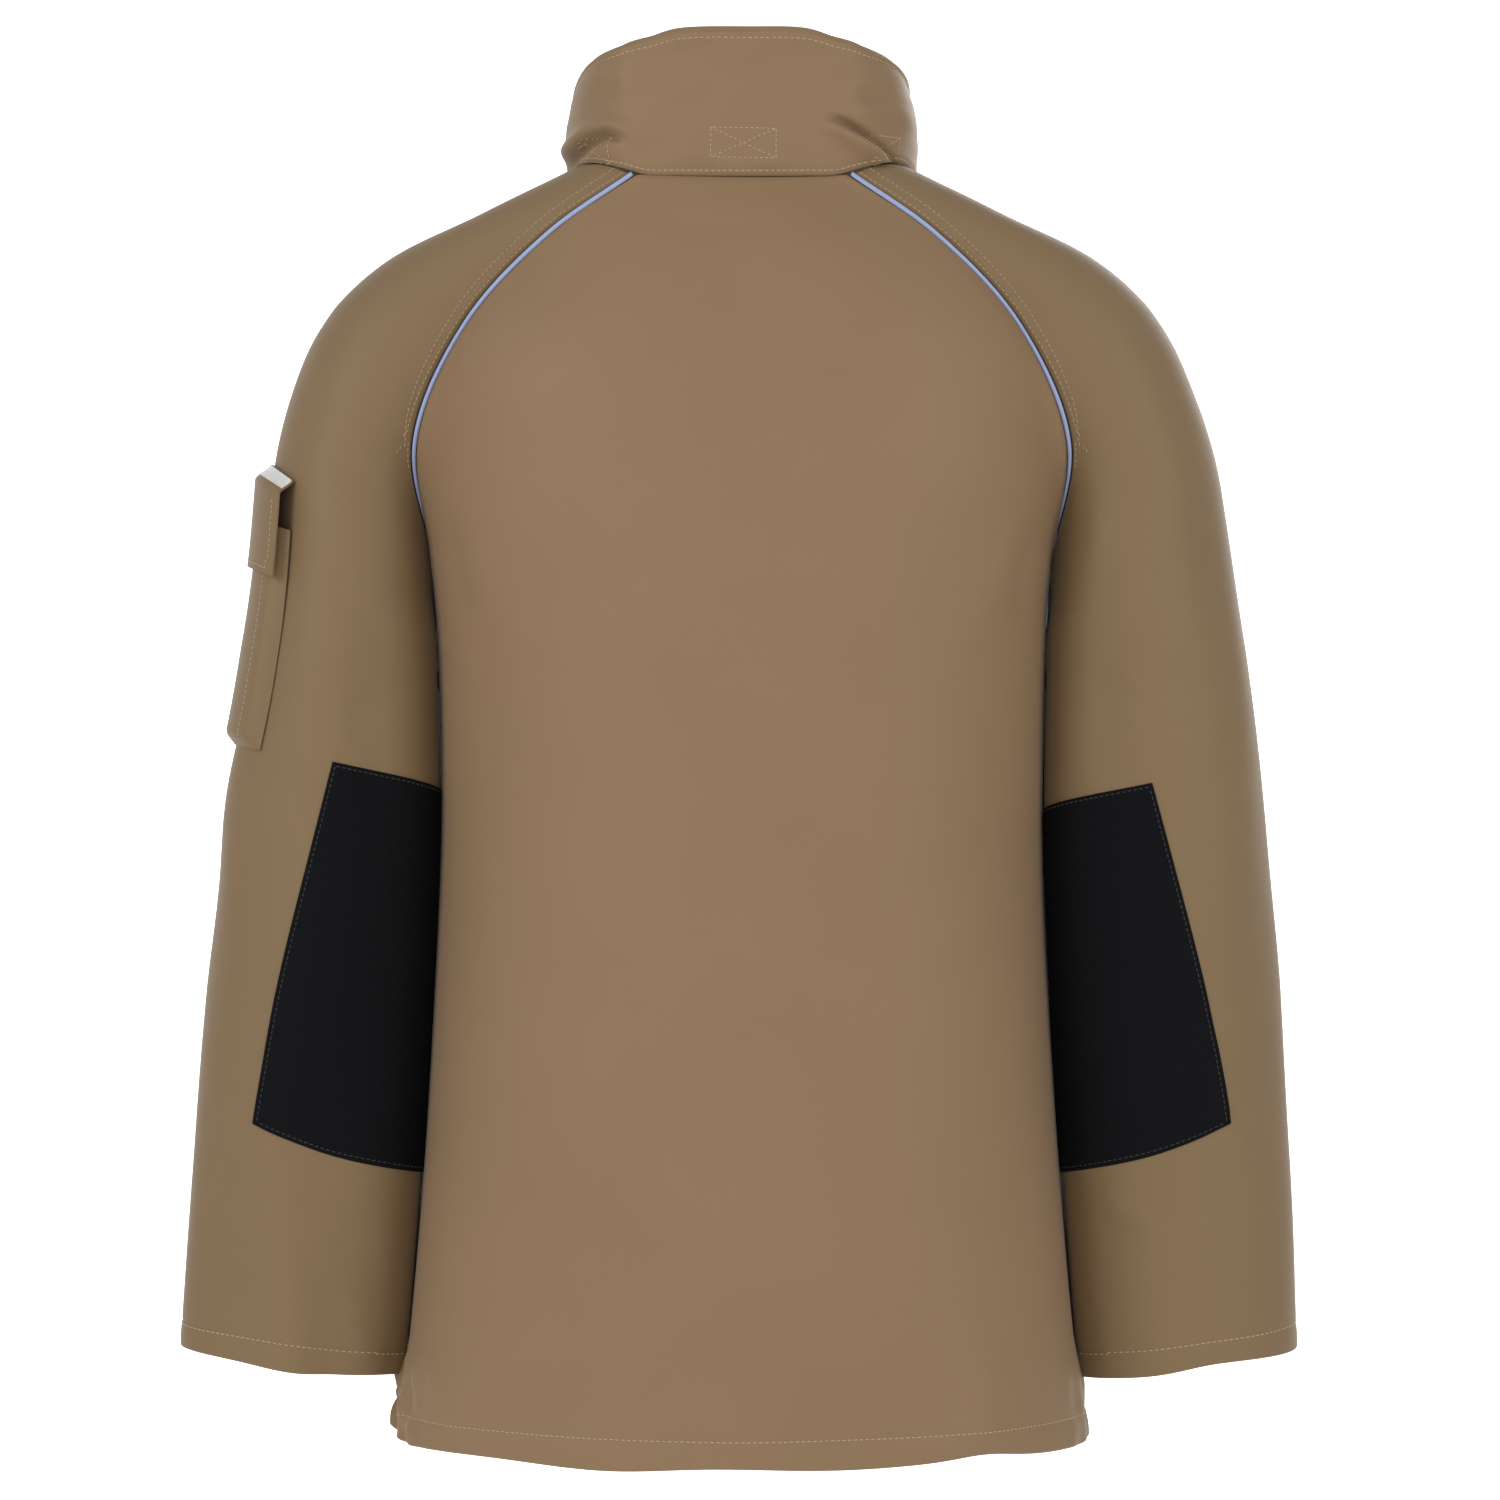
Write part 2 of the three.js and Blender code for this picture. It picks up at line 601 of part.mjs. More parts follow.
function makeVeilPads(level) {
  const spot = VEIL_PAD.level;
  for (const { where, u, stand } of VEIL_PAD_PLACES) {
    const half = VEIL_PAD.width / 2 / collarFace.speedU(u, spot);
    const ends = [u - half, u + half].map((side) => collarFace.point(side, spot, level));
    const inward = collarFace.normal(u, spot).negate();
    const across = ends[1].clone().sub(ends[0]).normalize();
    const up = inward.clone().cross(across).normalize();
    const face = across.clone().cross(up).normalize();
    const towards = Math.sign(face.dot(inward));
    const middle = ends[0].clone().add(ends[1]).multiplyScalar(0.5);
    middle.addScaledVector(face, towards * (VEIL_PAD.thick / 2 + stand));
    const basis = new THREE.Matrix4().makeBasis(across, up, across.clone().cross(up));
    const pad = add(
      `veil_pad_${where}`,
      new THREE.BoxGeometry(VEIL_PAD.width, VEIL_PAD.height, VEIL_PAD.thick),
      GRIP,
    );
    pad.quaternion.setFromRotationMatrix(basis);
    pad.position.copy(middle);
  }
}

// A strap sewn under the collar at the centre back.
const HANG_LOOP = { half: 20, drop: 26, width: 7, thick: 1.4, clear: 0.55 };

function makeHangLoop(level) {
  const top = collarFace.point(0, COLLAR_FOOT, level - FABRIC / 2);
  const { half, drop, width, thick, clear } = HANG_LOOP;
  top.z -= clear;
  const strap = new THREE.BoxGeometry(1, width, thick, 14, 1, 1);
  const geometry = reshape(strap, (p) => {
    const angle = Math.PI * (p.x + 0.5);
    const away = 1 + p.z / drop;
    return vec(
      -half * away * Math.cos(angle),
      top.y + p.y,
      top.z - drop * away * Math.sin(angle),
    );
  });
  add("hanging_loop", geometry, LINING);
}

// ---- Hem ----
// One ring under the whole hem: u from -1 (right front edge) over the back (0) to 1 (left front edge).
function hemPoint(u, v) {
  const side = Math.abs(u) * 2;
  const point = side <= 1 ? backPoint(side, v) : frontPoint(2 - side, v);
  return mirrored(point, u < 0 ? -1 : 1);
}

const hemFace = new Face(hemPoint, -1);
const HEM_REACH = 0.93; // share of the hem that the facing follows from the back to each front edge
const HEM_ELASTIC = { from: 0.36, to: 0.64, bottom: 4, top: 14, thick: 1.4, clear: 0.65 };

function makeHem() {
  const inside = -FABRIC - GAP - FLATS;
  const facing = slab(hemFace, {
    u: [-HEM_REACH, HEM_REACH],
    v: [0.001, rowShare(HEM_FACING)],
    h: [inside - FABRIC, inside],
    nu: 40,
    nv: 1,
  });
  add("hem_facing", facing, KHAKI);
  const { from, to, bottom, top, thick, clear } = HEM_ELASTIC;
  const deep = inside - FABRIC - clear;
  for (const { name, sign } of SIDES) {
    const u = [from * sign, to * sign].sort((a, b) => a - b);
    const v = [rowShare(bottom), rowShare(top)];
    const strap = slab(hemFace, { u, v, h: [deep - thick, deep], nu: 12, nv: 1 });
    add(`hem_elastic_${name}`, strap, ELASTIC);
  }
}

// ---- Front closure: built upright in a group that leans with the front line ----
const COLLAR_FRONT_TOP = FRONT_NECK_HEIGHT + COLLAR_BACK_HEIGHT;
const closure = new THREE.Group();
closure.position.set(0, -FRONT_DEPTH_HEM, 0);
closure.rotation.x = -Math.atan(FRONT_LEAN);
jacket.add(closure);
const alongLine = (z) => z * Math.hypot(1, FRONT_LEAN);
const TAPE_MIDDLE = TAPE_DEPTH + TAPE_THICK / 2;
const CHAIN_INNER = ZIP_POST / 2 + GAP;
const CHAIN_BELOW_TOP = 6;
const CHAIN_TOP = alongLine(COLLAR_FRONT_TOP - CHAIN_BELOW_TOP);
const CHAIN_BOTTOM = alongLine(ZIP_BOTTOM);

function makeZip() {
  const length = CHAIN_TOP - CHAIN_BOTTOM;
  const middle = (CHAIN_TOP + CHAIN_BOTTOM) / 2;
  for (const { name, sign } of SIDES) {
    const chainX = sign * (CHAIN_INNER + CHAIN_WIDTH / 2);
    const tapeX = sign * (CHAIN_INNER + CHAIN_WIDTH + GAP + TAPE_WIDTH / 2);
    const chain = brick(CHAIN_WIDTH, CHAIN_THICK, length, chainX, TAPE_MIDDLE, middle);
    add(`zip_chain_${name}`, chain, ZIP_METAL, closure);
    const tape = brick(TAPE_WIDTH, TAPE_THICK, length + TAPE_SPARE, tapeX, TAPE_MIDDLE, middle);
    add(`zip_tape_${name}`, tape, ZIP_TAPE, closure);
  }
  const { side, depth } = BOTTOM_STOP;
  const stop = brick(side, depth, side, 0, TAPE_MIDDLE, CHAIN_BOTTOM - GAP - side / 2);
  add("zip_bottom_stop", stop, ZIP_METAL, closure);
}

// The slider: a plate before and one behind the chain, a thin post between, and a bridge for the puller.
function makeSlider() {
  const { width, height, plate } = SLIDER;
  const top = CHAIN_TOP - 1;
  const z = top - height / 2;
  const off = CHAIN_THICK / 2 + GAP + plate / 2;
  const face = TAPE_MIDDLE - off - plate / 2;
  const room = PULLER.thick + 2 * PULLER.play;
  const legZ = (BRIDGE.length - BRIDGE.thick) / 2;
  const bridgeY = face - room - BRIDGE.thick / 2;
  const legDepth = room + BRIDGE.thick;
  const bite = 0.1; // the legs run into the plate
  const legY = face - legDepth / 2 + bite;
  const slider = join(
    brick(width, plate, height, 0, TAPE_MIDDLE - off, z),
    brick(width, plate, height, 0, TAPE_MIDDLE + off, z),
    brick(ZIP_POST, 2 * off, height, 0, TAPE_MIDDLE, z),
    brick(BRIDGE.width, legDepth + 2 * bite, BRIDGE.thick, 0, legY, z + legZ),
    brick(BRIDGE.width, legDepth + 2 * bite, BRIDGE.thick, 0, legY, z - legZ),
    brick(BRIDGE.width, BRIDGE.thick, BRIDGE.length, 0, bridgeY, z),
  );
  add("zip_slider", slider, ZIP_METAL, closure);
  const hang = PULLER.play + PULLER.thick / 2;
  makePuller(face - hang, z + legZ - BRIDGE.thick / 2 - hang);
}

// The puller hangs by its crossbar under the bridge.
function makePuller(y, z) {
  const { width, length, thick, window } = PULLER;
  const side = (width - BRIDGE.width - 2 * GAP) / 2;
  const sideX = width / 2 - side / 2;
  const plateTop = z + thick / 2 - window - thick;
  const plateLength = length - window - thick;
  const puller = join(
    brick(width, thick, thick, 0, y, z),
    brick(side, thick, window + 2 * thick, sideX, y, z - window / 2 - thick / 2),
    brick(side, thick, window + 2 * thick, -sideX, y, z - window / 2 - thick / 2),
    brick(width, thick, plateLength, 0, y, plateTop - plateLength / 2),
  );
  add("zip_puller", puller, ZIP_METAL, closure);
}

// A flap over the zip, sewn to the left front by its root.
function makeStormFlap() {
  const { left, right, lift, thick, root } = STORM_FLAP;
  const bottom = alongLine(2);
  const top = alongLine(FRONT_NECK_HEIGHT - 4);
  const width = left + right;
  const [x, y, z] = [(left - right) / 2, -lift - thick / 2, (top + bottom) / 2];
  const plate = brick(width, thick, top - bottom, x, y, z);
  const lean = new THREE.Matrix4().makeRotationX(closure.rotation.x).setPosition(closure.position);
  const across = (v) => [frontShare(left - root, v), frontShare(left, v)];
  const strip = { u: across, v: [rowShare(3), 0.985], h: [0.35, lift + 1.2], nu: 1, nv: 12 };
  const seated = slab(frontFace(1), strip);
  add("storm_flap", join(plate.applyMatrix4(lean), seated), KHAKI);
}

// ---- Assembly ----
makeBack();
makeCollar();
for (const side of SIDES) {
  makeFront(side);
  makeShoulder(side);
  makePiping(side, "back", 1);
  makePiping(side, "front", -1);
  makeSleeve(side);
  makeHipPocket(side);
}
makeArmPocket();
makeHem();
makeZip();
makeSlider();
makeStormFlap();

export default jacket;
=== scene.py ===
"""A beekeeping jacket, empty and upright: its cloth, seams, pads and zip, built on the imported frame."""

import logging
import math
from dataclasses import dataclass
from enum import Enum
from typing import Any, Callable, Optional, Sequence

import bpy
import numpy as np
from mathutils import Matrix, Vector
from mathutils.bvhtree import BVHTree

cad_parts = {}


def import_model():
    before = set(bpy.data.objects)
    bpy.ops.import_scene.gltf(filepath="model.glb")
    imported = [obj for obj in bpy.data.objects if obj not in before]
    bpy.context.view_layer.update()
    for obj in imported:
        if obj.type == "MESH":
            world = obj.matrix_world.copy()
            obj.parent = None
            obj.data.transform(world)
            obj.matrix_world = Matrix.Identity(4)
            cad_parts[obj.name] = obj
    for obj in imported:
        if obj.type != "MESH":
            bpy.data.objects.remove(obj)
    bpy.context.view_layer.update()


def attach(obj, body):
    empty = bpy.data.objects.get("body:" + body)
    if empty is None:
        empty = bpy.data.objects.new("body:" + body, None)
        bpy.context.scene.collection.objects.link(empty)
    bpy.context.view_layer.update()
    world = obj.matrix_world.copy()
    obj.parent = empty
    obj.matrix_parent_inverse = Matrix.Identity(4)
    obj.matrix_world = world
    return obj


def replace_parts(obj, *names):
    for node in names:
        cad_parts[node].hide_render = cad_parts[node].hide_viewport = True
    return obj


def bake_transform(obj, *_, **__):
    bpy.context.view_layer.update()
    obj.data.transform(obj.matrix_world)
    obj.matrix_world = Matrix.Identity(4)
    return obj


Array = np.ndarray
Piece, Material = bpy.types.Object, bpy.types.Material
Pairs = Sequence[tuple[float, float]]
NECK_HEIGHT = 750.0  # millimetres from the hem up to the middle of the neck opening
LOG = logging.getLogger("jacket")


class Side(Enum):
    """The wearer's side that a piece is on; its value is the sign of X."""

    LEFT = 1
    RIGHT = -1

    @property
    def label(self) -> str:
        """The side's word in piece names."""
        return self.name.lower()


# ---- Small maths ----
def metres(points: Array) -> Array:
    """Millimetres above the hem, as metres in the shared frame."""
    return (np.asarray(points, float) - np.array([0.0, 0.0, NECK_HEIGHT])) * 0.001


def smooth(x: Array, low: float, high: float) -> Array:
    """A smooth step from 0 at low to 1 at high."""
    t = np.clip((np.asarray(x, float) - low) / (high - low), 0, 1)
    return t * t * (3 - 2 * t)


def unit(vectors: Array) -> Array:
    """The vectors at length one."""
    return vectors / np.maximum(np.linalg.norm(vectors, axis=-1, keepdims=True), 1e-9)


def mirrored(points: Array, side: Side) -> Array:
    """Points of the left side, moved to the given side."""
    return points * np.array([side.value, 1.0, 1.0])


def crowded(count: int, pull: float = 0.55) -> Array:
    """Steps from -1 to 1 that lie closer together towards both ends.

    Args:
        count: how many steps.
        pull: 0 for even steps, 1 for the closest ends.

    Returns:
        The steps, as an array.
    """
    t = np.linspace(-1, 1, count)
    return (1 - pull) * t + pull * np.sin(t * math.pi / 2)


def lengths(points: Array, axis: int) -> Array:
    """The running length along one axis of a grid of points."""
    step = np.linalg.norm(np.diff(points, axis=axis), axis=-1)
    start = np.zeros_like(np.take(step, [0], axis=axis))
    return np.concatenate([start, np.cumsum(step, axis=axis)], axis=axis)


def soft_noise(a: Array, b: Array, size: float, seed: int) -> Array:
    """A smooth, uneven field between about -1 and 1.

    Args:
        a: first coordinate in millimetres.
        b: second coordinate in millimetres.
        size: the usual distance between its swells.
        seed: which field.

    Returns:
        The field at each point.
    """
    rng = np.random.default_rng(seed)
    total = np.zeros(np.broadcast(a, b).shape)
    for _ in range(7):
        angle, phase = rng.uniform(0, 2 * math.pi, 2)
        k = 2 * math.pi / (size * rng.uniform(0.7, 1.6))
        total = total + np.sin(k * (a * math.cos(angle) + b * math.sin(angle)) + phase)
    return total / 3.2


class Spline:
    """A centripetal path through points that are evenly counted from 0 to 1."""

    def __init__(self, points: Sequence[Sequence[float]]) -> None:
        """Keeps the points, one row each."""
        rows = np.array(points, float).reshape(len(points), -1)
        self.rows = np.vstack([2 * rows[0] - rows[1], rows, 2 * rows[-1] - rows[-2]])

    def at(self, t: Array) -> Array:
        """The path's points.

        Args:
            t: places from 0 to 1.

        Returns:
            One row for each place.
        """
        spans = len(self.rows) - 3
        s = np.clip(np.asarray(t, float), 0, 1) * spans
        i = np.minimum(s.astype(int), spans - 1)
        w = (s - i)[..., None]
        p0, p1, p2, p3 = (self.rows[i + k] for k in range(4))
        gap = [np.sqrt(np.linalg.norm(b - a, axis=-1))[..., None]
               for a, b in ((p0, p1), (p1, p2), (p2, p3))]
        d1 = np.where(gap[1] < 1e-4, 1.0, gap[1])
        d0, d2 = (np.where(g < 1e-4, d1, g) for g in (gap[0], gap[2]))
        t1 = ((p1 - p0) / d0 - (p2 - p0) / (d0 + d1) + (p2 - p1) / d1) * d1
        t2 = ((p2 - p1) / d1 - (p3 - p1) / (d1 + d2) + (p3 - p2) / d2) * d1
        c2 = -3 * p1 + 3 * p2 - 2 * t1 - t2
        c3 = 2 * p1 - 2 * p2 + t1 + t2
        return p1 + w * (t1 + w * (c2 + w * c3))

    def value(self, t: Array) -> Array:
        """The first number of each point."""
        return self.at(t)[..., 0]


@dataclass(frozen=True)
class Crease:
    """A soft ridge or groove along a line across and up a piece of cloth, in millimetres.

    A positive height stands out and a negative one sinks in; shift moves it off its line.
    """

    path: tuple[tuple[float, float], ...]
    width: float
    height: float
    shift: float = 0.0

    def lift(self, a: Array, b: Array) -> Array:
        """How far it moves the cloth.

        Args:
            a: coordinate across.
            b: coordinate up.

        Returns:
            Millimetres along the cloth's normal.
        """
        line = np.array(self.path, float)
        steps = np.linalg.norm(np.diff(line, axis=0), axis=1)
        total, run = steps.sum(), 0.0
        near = np.full(np.broadcast(a, b).shape, 1e9)
        signed, place = np.zeros_like(near), np.zeros_like(near)
        for (x0, y0), (x1, y1), step in zip(line[:-1], line[1:], steps):
            dx, dy = (x1 - x0) / step, (y1 - y0) / step
            along = np.clip((a - x0) * dx + (b - y0) * dy, 0, step)
            ex, ey = a - x0 - along * dx, b - y0 - along * dy
            off = np.hypot(ex, ey)
            closer = off < near
            near = np.where(closer, off, near)
            signed = np.where(closer, np.sign(dx * ey - dy * ex) * off, signed)
            place = np.where(closer, (run + along) / total, place)
            run += step
        taper = smooth(place, 0.0, 0.3) * smooth(1 - place, 0.0, 0.3) + 0.02
        return self.height * taper * np.exp(-(((signed - self.shift) / self.width) ** 2))


def creased(creases: Sequence[Crease], a: Array, b: Array) -> Array:
    """The sum of several creases at each point."""
    return sum((c.lift(a, b) for c in creases), np.zeros(np.broadcast(a, b).shape))


# ---- The curves that the cloth follows, in millimetres above the hem ----
@dataclass
class JacketShape:
    """The jacket's curved faces: shoulders, body, sleeves and collar, for the wearer's left."""

    hem_half: float = 210.0
    waist_half: float = 186.0
    chest_half: float = 189.0
    waist: float = 400.0
    side_top: float = 529.0
    armpit: float = 537.0
    depth: float = 150.0
    back_chest: float = 142.0
    neck_front: float = 712.0
    neck_front_depth: float = 95.0
    zip_edge: float = 6.0
    lower_rows: int = 8
    seam_rows: int = 12
    collar_back: float = 90.0
    collar_side: float = 56.0

    def __post_init__(self) -> None:
        """Builds the splines and the tables that the faces read."""
        self.lean = (self.depth - self.neck_front_depth) / self.neck_front
        self.ridge = Spline([(107, 8, 778), (162, 5, 757.5), (218, 2, 731), (262, 0, 683),
                             (291.5, 0, 614.6)])
        self.seams = {
            "back": Spline([(66, 78, 773), (118, 73, 737), (168, 64, 684), (200, 50, 612),
                            (189, 12, self.armpit)]),
            "front": Spline([(80, -66, 733), (122, -71, 706), (164, -66, 664), (197, -50, 606),
                             (189, -12, self.armpit)]),
        }
        self.spread = Spline([(v,) for v in (75, 88, 105, 131, 170)])
        upper = Spline([(0, 85, 771), (0, 108, 735), (0, 127, 684), (0, 139, 612), (0, 142, self.armpit)])
        fan = Spline([(v,) for v in (42, 50, 62, 78, 90)])
        self.tables = {}
        for where, seam in self.seams.items():
            rows = []
            for z in np.linspace(0, self.side_top, self.lower_rows + 1):
                if where == "front":
                    y = -self.depth + self.lean * z
                else:
                    y = self.depth + (self.back_chest - self.depth) * z / self.side_top
                rows.append([self.half_width(z), 0, z, 0, y, z, 90])
            for v in np.linspace(1, 0, self.seam_rows + 1):
                edge, top = seam.at(v), self.seams["front"].at(0.0)[2]
                centre = upper.at(v)
                if where == "front":
                    height = self.neck_front - self.armpit
                    z = self.armpit + height * (edge[2] - self.armpit) / (top - self.armpit)
                    centre = np.array([0, -self.depth + self.lean * z, z])
                rows.append([*edge, *centre, float(fan.value(v))])
            self.tables[where] = np.array(rows, float)
        sections = [(240.5, 0, 576, 51, 38.6, 69), (3.4, -2, 470, 58, 16, 72), (5.5, -5, 370, 64, 8, 71),
                    (4.6, -8, 270, 69, 7, 68), (5.7, -12, 160, 69, 7.5, 64), (8.9, -18, 50, 67, 8, 60)]
        centres = [(x if x > 100 else self.half_width(z) + x + out, y, z)
                   for x, y, z, out, _, _ in sections]
        self.sleeve_centre = Spline(centres)
        self.sleeve_out = Spline([(out, 0, rise) for _, _, _, out, rise, _ in sections])
        self.sleeve_back = Spline([(back,) for *_, back in sections])
        half = np.vstack([self.neck_point(i / 12) for i in range(13)])
        self.neck = Spline(np.vstack([half[1:][::-1] * [-1, 1, 1], half]))

    def half_width(self, z: float) -> float:
        """Half the body's width at a height, at the side seam."""
        if z < self.waist:
            return self.waist_half + (self.hem_half - self.waist_half) * (1 - z / self.waist) ** 1.5
        gain = self.chest_half - self.waist_half
        return self.waist_half + gain * (z - self.waist) / (self.side_top - self.waist)

    def shoulder(self, u: Array, v: Array) -> Array:
        """The raglan shoulder.

        Args:
            u: From -1 at the front seam to 1 at the back one.
            v: From 0 at the neck to 1 at the armhole.

        Returns:
            The points, in millimetres.
        """
        turn = np.radians(self.spread.value(v))[..., None]
        back, front, top = self.seams["back"].at(v), self.seams["front"].at(v), self.ridge.at(v)
        middle = (back + front) / 2
        rise = (top - middle) / (1 - np.cos(turn))
        angle = u[..., None] * turn
        return top - rise + (back - front) / 2 / np.sin(turn) * np.sin(angle) + rise * np.cos(angle)

    def panel(self, where: str, u: Array, v: Array) -> Array:
        """A body panel: u from 0 at the middle to 1 at its side edge, v from the hem to the neck."""
        table = self.tables[where]
        last = len(table) - 1
        s = np.clip(v, 0, 1) * last
        i = np.minimum(s.astype(int), last - 1)
        w = (s - i)[..., None]
        gaps = np.linalg.norm(np.diff(table[:, 0:3], axis=0), axis=1)
        slopes = np.diff(table, axis=0) / gaps[:, None]
        weighed = slopes[:-1] * gaps[1:, None] + slopes[1:] * gaps[:-1, None]
        inner = weighed / (gaps[1:] + gaps[:-1])[:, None]
        slopes = np.vstack([slopes[:1], inner, slopes[-1:]])
        p1, p2, gap = table[i], table[i + 1], gaps[i][..., None]
        m1, m2 = slopes[i] * gap, slopes[i + 1] * gap
        row = p1 + w * (m1 + w * (3 * (p2 - p1) - 2 * m1 - m2 + w * (2 * (p1 - p2) + m1 + m2)))
        edge, centre, turn = row[..., 0:3], row[..., 3:6], np.radians(row[..., 6])
        middle = self.zip_edge if where == "front" else 0.0
        lift = (np.cos(u * turn) - np.cos(turn)) / (1 - np.cos(turn))
        out = np.sin(u * turn) / np.sin(turn)
        x = middle + (edge[..., 0] - middle) * out
        y = edge[..., 1] + (centre[..., 1] - edge[..., 1]) * lift
        z = edge[..., 2] + (centre[..., 2] - edge[..., 2]) * lift
        return np.stack([x, y, z], -1)

    def row_share(self, z: float) -> float:
        """The panel's v at a height below the armpit."""
        return z / self.side_top * self.lower_rows / (self.lower_rows + 1 + self.seam_rows)

    def front_share(self, x: Array, v: Array) -> Array:
        """The front panel's u at a distance from the middle, on row v below the armpit."""
        edge = self.panel("front", np.ones_like(v), v)[..., 0]
        return np.arcsin((x - self.zip_edge) / (edge - self.zip_edge)) / (math.pi / 2)

    def sleeve(self, turn: Array, v: Array) -> Array:
        """The sleeve: turn is once round from the outside by way of the back, v from armhole to cuff."""
        angle = turn * 2 * math.pi
        point = self.sleeve_centre.at(v) + self.sleeve_out.at(v) * np.cos(angle)[..., None]
        point[..., 1] += self.sleeve_back.value(v) * np.sin(angle)
        return point

    def neck_point(self, share: float) -> Array:
        """The neck edge of back, shoulder and front in turn, from the back's middle to the zip."""
        one = np.ones(1)
        if share < 0.3:
            return self.panel("back", one * share / 0.3, one)
        if share < 0.7:
            return self.shoulder(one * (1 - 2 * (share - 0.3) / 0.4), one * 0)
        return self.panel("front", one * (1 - (share - 0.7) / 0.3), one)

    def collar(self, u: Array, v: Array) -> Array:
        """The collar's outside: u from -1 at the right front edge to 1 at the left, v from foot to top."""
        base = self.neck.at((u + 1) / 2)
        rise = (1 + np.cos(2 * math.pi * u)) / 2
        rise = np.where(np.abs(u) < 0.5, 1 - (1 - rise) ** 2.4, rise)
        height = self.collar_side + (self.collar_back - self.collar_side) * rise
        top = base.copy()
        top[..., 0] *= 1 - 0.04 * np.sin(math.pi * np.minimum(np.abs(u), 1))
        top[..., 1] -= self.lean * height * base[..., 1] / self.neck_front_depth
        top[..., 2] += height
        return base + (top - base) * v[..., None]


# ---- Meshes ----
def grid_normals(points: Array, outward: Array, wrap: bool = False) -> Array:
    """The normals of a grid of points.

    Args:
        points: rows by columns of points.
        outward: a direction or grid of directions that the normals should agree with.
        wrap: whether the last column joins the first.

    Returns:
        A grid of normals.
    """
    if wrap:
        across = np.roll(points, -1, 1) - np.roll(points, 1, 1)
    else:
        across = np.gradient(points, axis=1)
    normals = unit(np.cross(across, np.gradient(points, axis=0)))
    flip = np.sign((normals * outward).sum(-1).mean()) or 1.0
    return normals * flip


@dataclass
class Cloth:
    """Corners, four-sided faces and weave coordinates of a piece of cloth, before it is an object."""

    points: Array
    faces: Array
    weave: Array

    @staticmethod
    def grid(points: Array, wrap: bool = False) -> "Cloth":
        """Cloth over a grid of points, with its weave measured from the middle.

        Args:
            points: rows by columns of points in millimetres.
            wrap: whether the last column joins the first.

        Returns:
            The cloth.
        """
        rows, cols = points.shape[:2]
        index = np.arange(rows * cols).reshape(rows, cols)
        right = np.roll(index, -1, 1) if wrap else index[:, 1:]
        left = index if wrap else index[:, :-1]
        faces = np.stack([left[:-1], right[:-1], right[1:], left[1:]], -1).reshape(-1, 4)
        run = lengths(points, 1)
        across = run - run[:, cols // 2 : cols // 2 + 1]
        down = np.broadcast_to(lengths(points, 0)[:, cols // 2 : cols // 2 + 1], across.shape)
        weave = np.stack([across, down], -1).reshape(-1, 2) * 0.001
        return Cloth(points.reshape(-1, 3), faces, weave)

    def with_points(self, points: Array, faces: Array, weave: Array) -> "Cloth":
        """This cloth with more corners and faces; the new faces count all corners."""
        return Cloth(np.vstack([self.points, points]), np.vstack([self.faces, faces]),
                     np.vstack([self.weave, weave]))

    def normals(self) -> Array:
        """The normal at each corner."""
        p = self.points[self.faces]
        face = np.cross(p[:, 2] - p[:, 0], p[:, 3] - p[:, 1])
        total = np.zeros_like(self.points)
        for k in range(4):
            np.add.at(total, self.faces[:, k], face)
        return unit(total)

    def facing(self, outward: Array) -> "Cloth":
        """This cloth with its faces turned to agree with a direction at each corner."""
        if (self.normals() * outward).sum() < 0:
            self.faces = self.faces[:, ::-1].copy()
        return self


def make_object(name: str, cloth: Cloth, finishes: Sequence[Material],
                kinds: Optional[Array] = None,
                sharp: Optional[Array] = None, smooth_faces: bool = True) -> Piece:
    """Makes a Blender mesh object in the shared frame.

    Args:
        name: the piece's name.
        cloth: its corners in millimetres and its faces.
        finishes: its materials.
        kinds: the material index of each face.
        sharp: pairs of corners whose edges stay crisp.
        smooth_faces: whether faces shade into one another.

    Returns:
        The object.
    """
    mesh = bpy.data.meshes.new(name)
    mesh.from_pydata(metres(cloth.points).tolist(), [], cloth.faces.tolist())
    layer = mesh.uv_layers.new(name="weave")
    corners = np.zeros(len(mesh.loops), int)
    mesh.loops.foreach_get("vertex_index", corners)
    layer.data.foreach_set("uv", cloth.weave[corners].astype(np.float32).ravel())
    for finish in finishes:
        mesh.materials.append(finish)
    if kinds is not None:
        mesh.polygons.foreach_set("material_index", kinds.astype(np.int32))
    mesh.polygons.foreach_set("use_smooth", np.full(len(mesh.polygons), smooth_faces))
    if sharp is not None and len(sharp):
        ends = np.zeros(len(mesh.edges) * 2, int)
        mesh.edges.foreach_get("vertices", ends)
        ends = np.sort(ends.reshape(-1, 2), 1)
        wanted = np.sort(sharp, 1)
        size = len(cloth.points)
        crisp = np.isin(ends[:, 0] * size + ends[:, 1], wanted[:, 0] * size + wanted[:, 1])
        mark = mesh.attributes.new("sharp_edge", "BOOLEAN", "EDGE")
        mark.data.foreach_set("value", crisp)
    mesh.validate(clean_customdata=False)
    made = bpy.data.objects.new(name, mesh)
    bpy.context.scene.collection.objects.link(made)
    LOG.info("%s: %d faces", name, len(mesh.polygons))
    return made


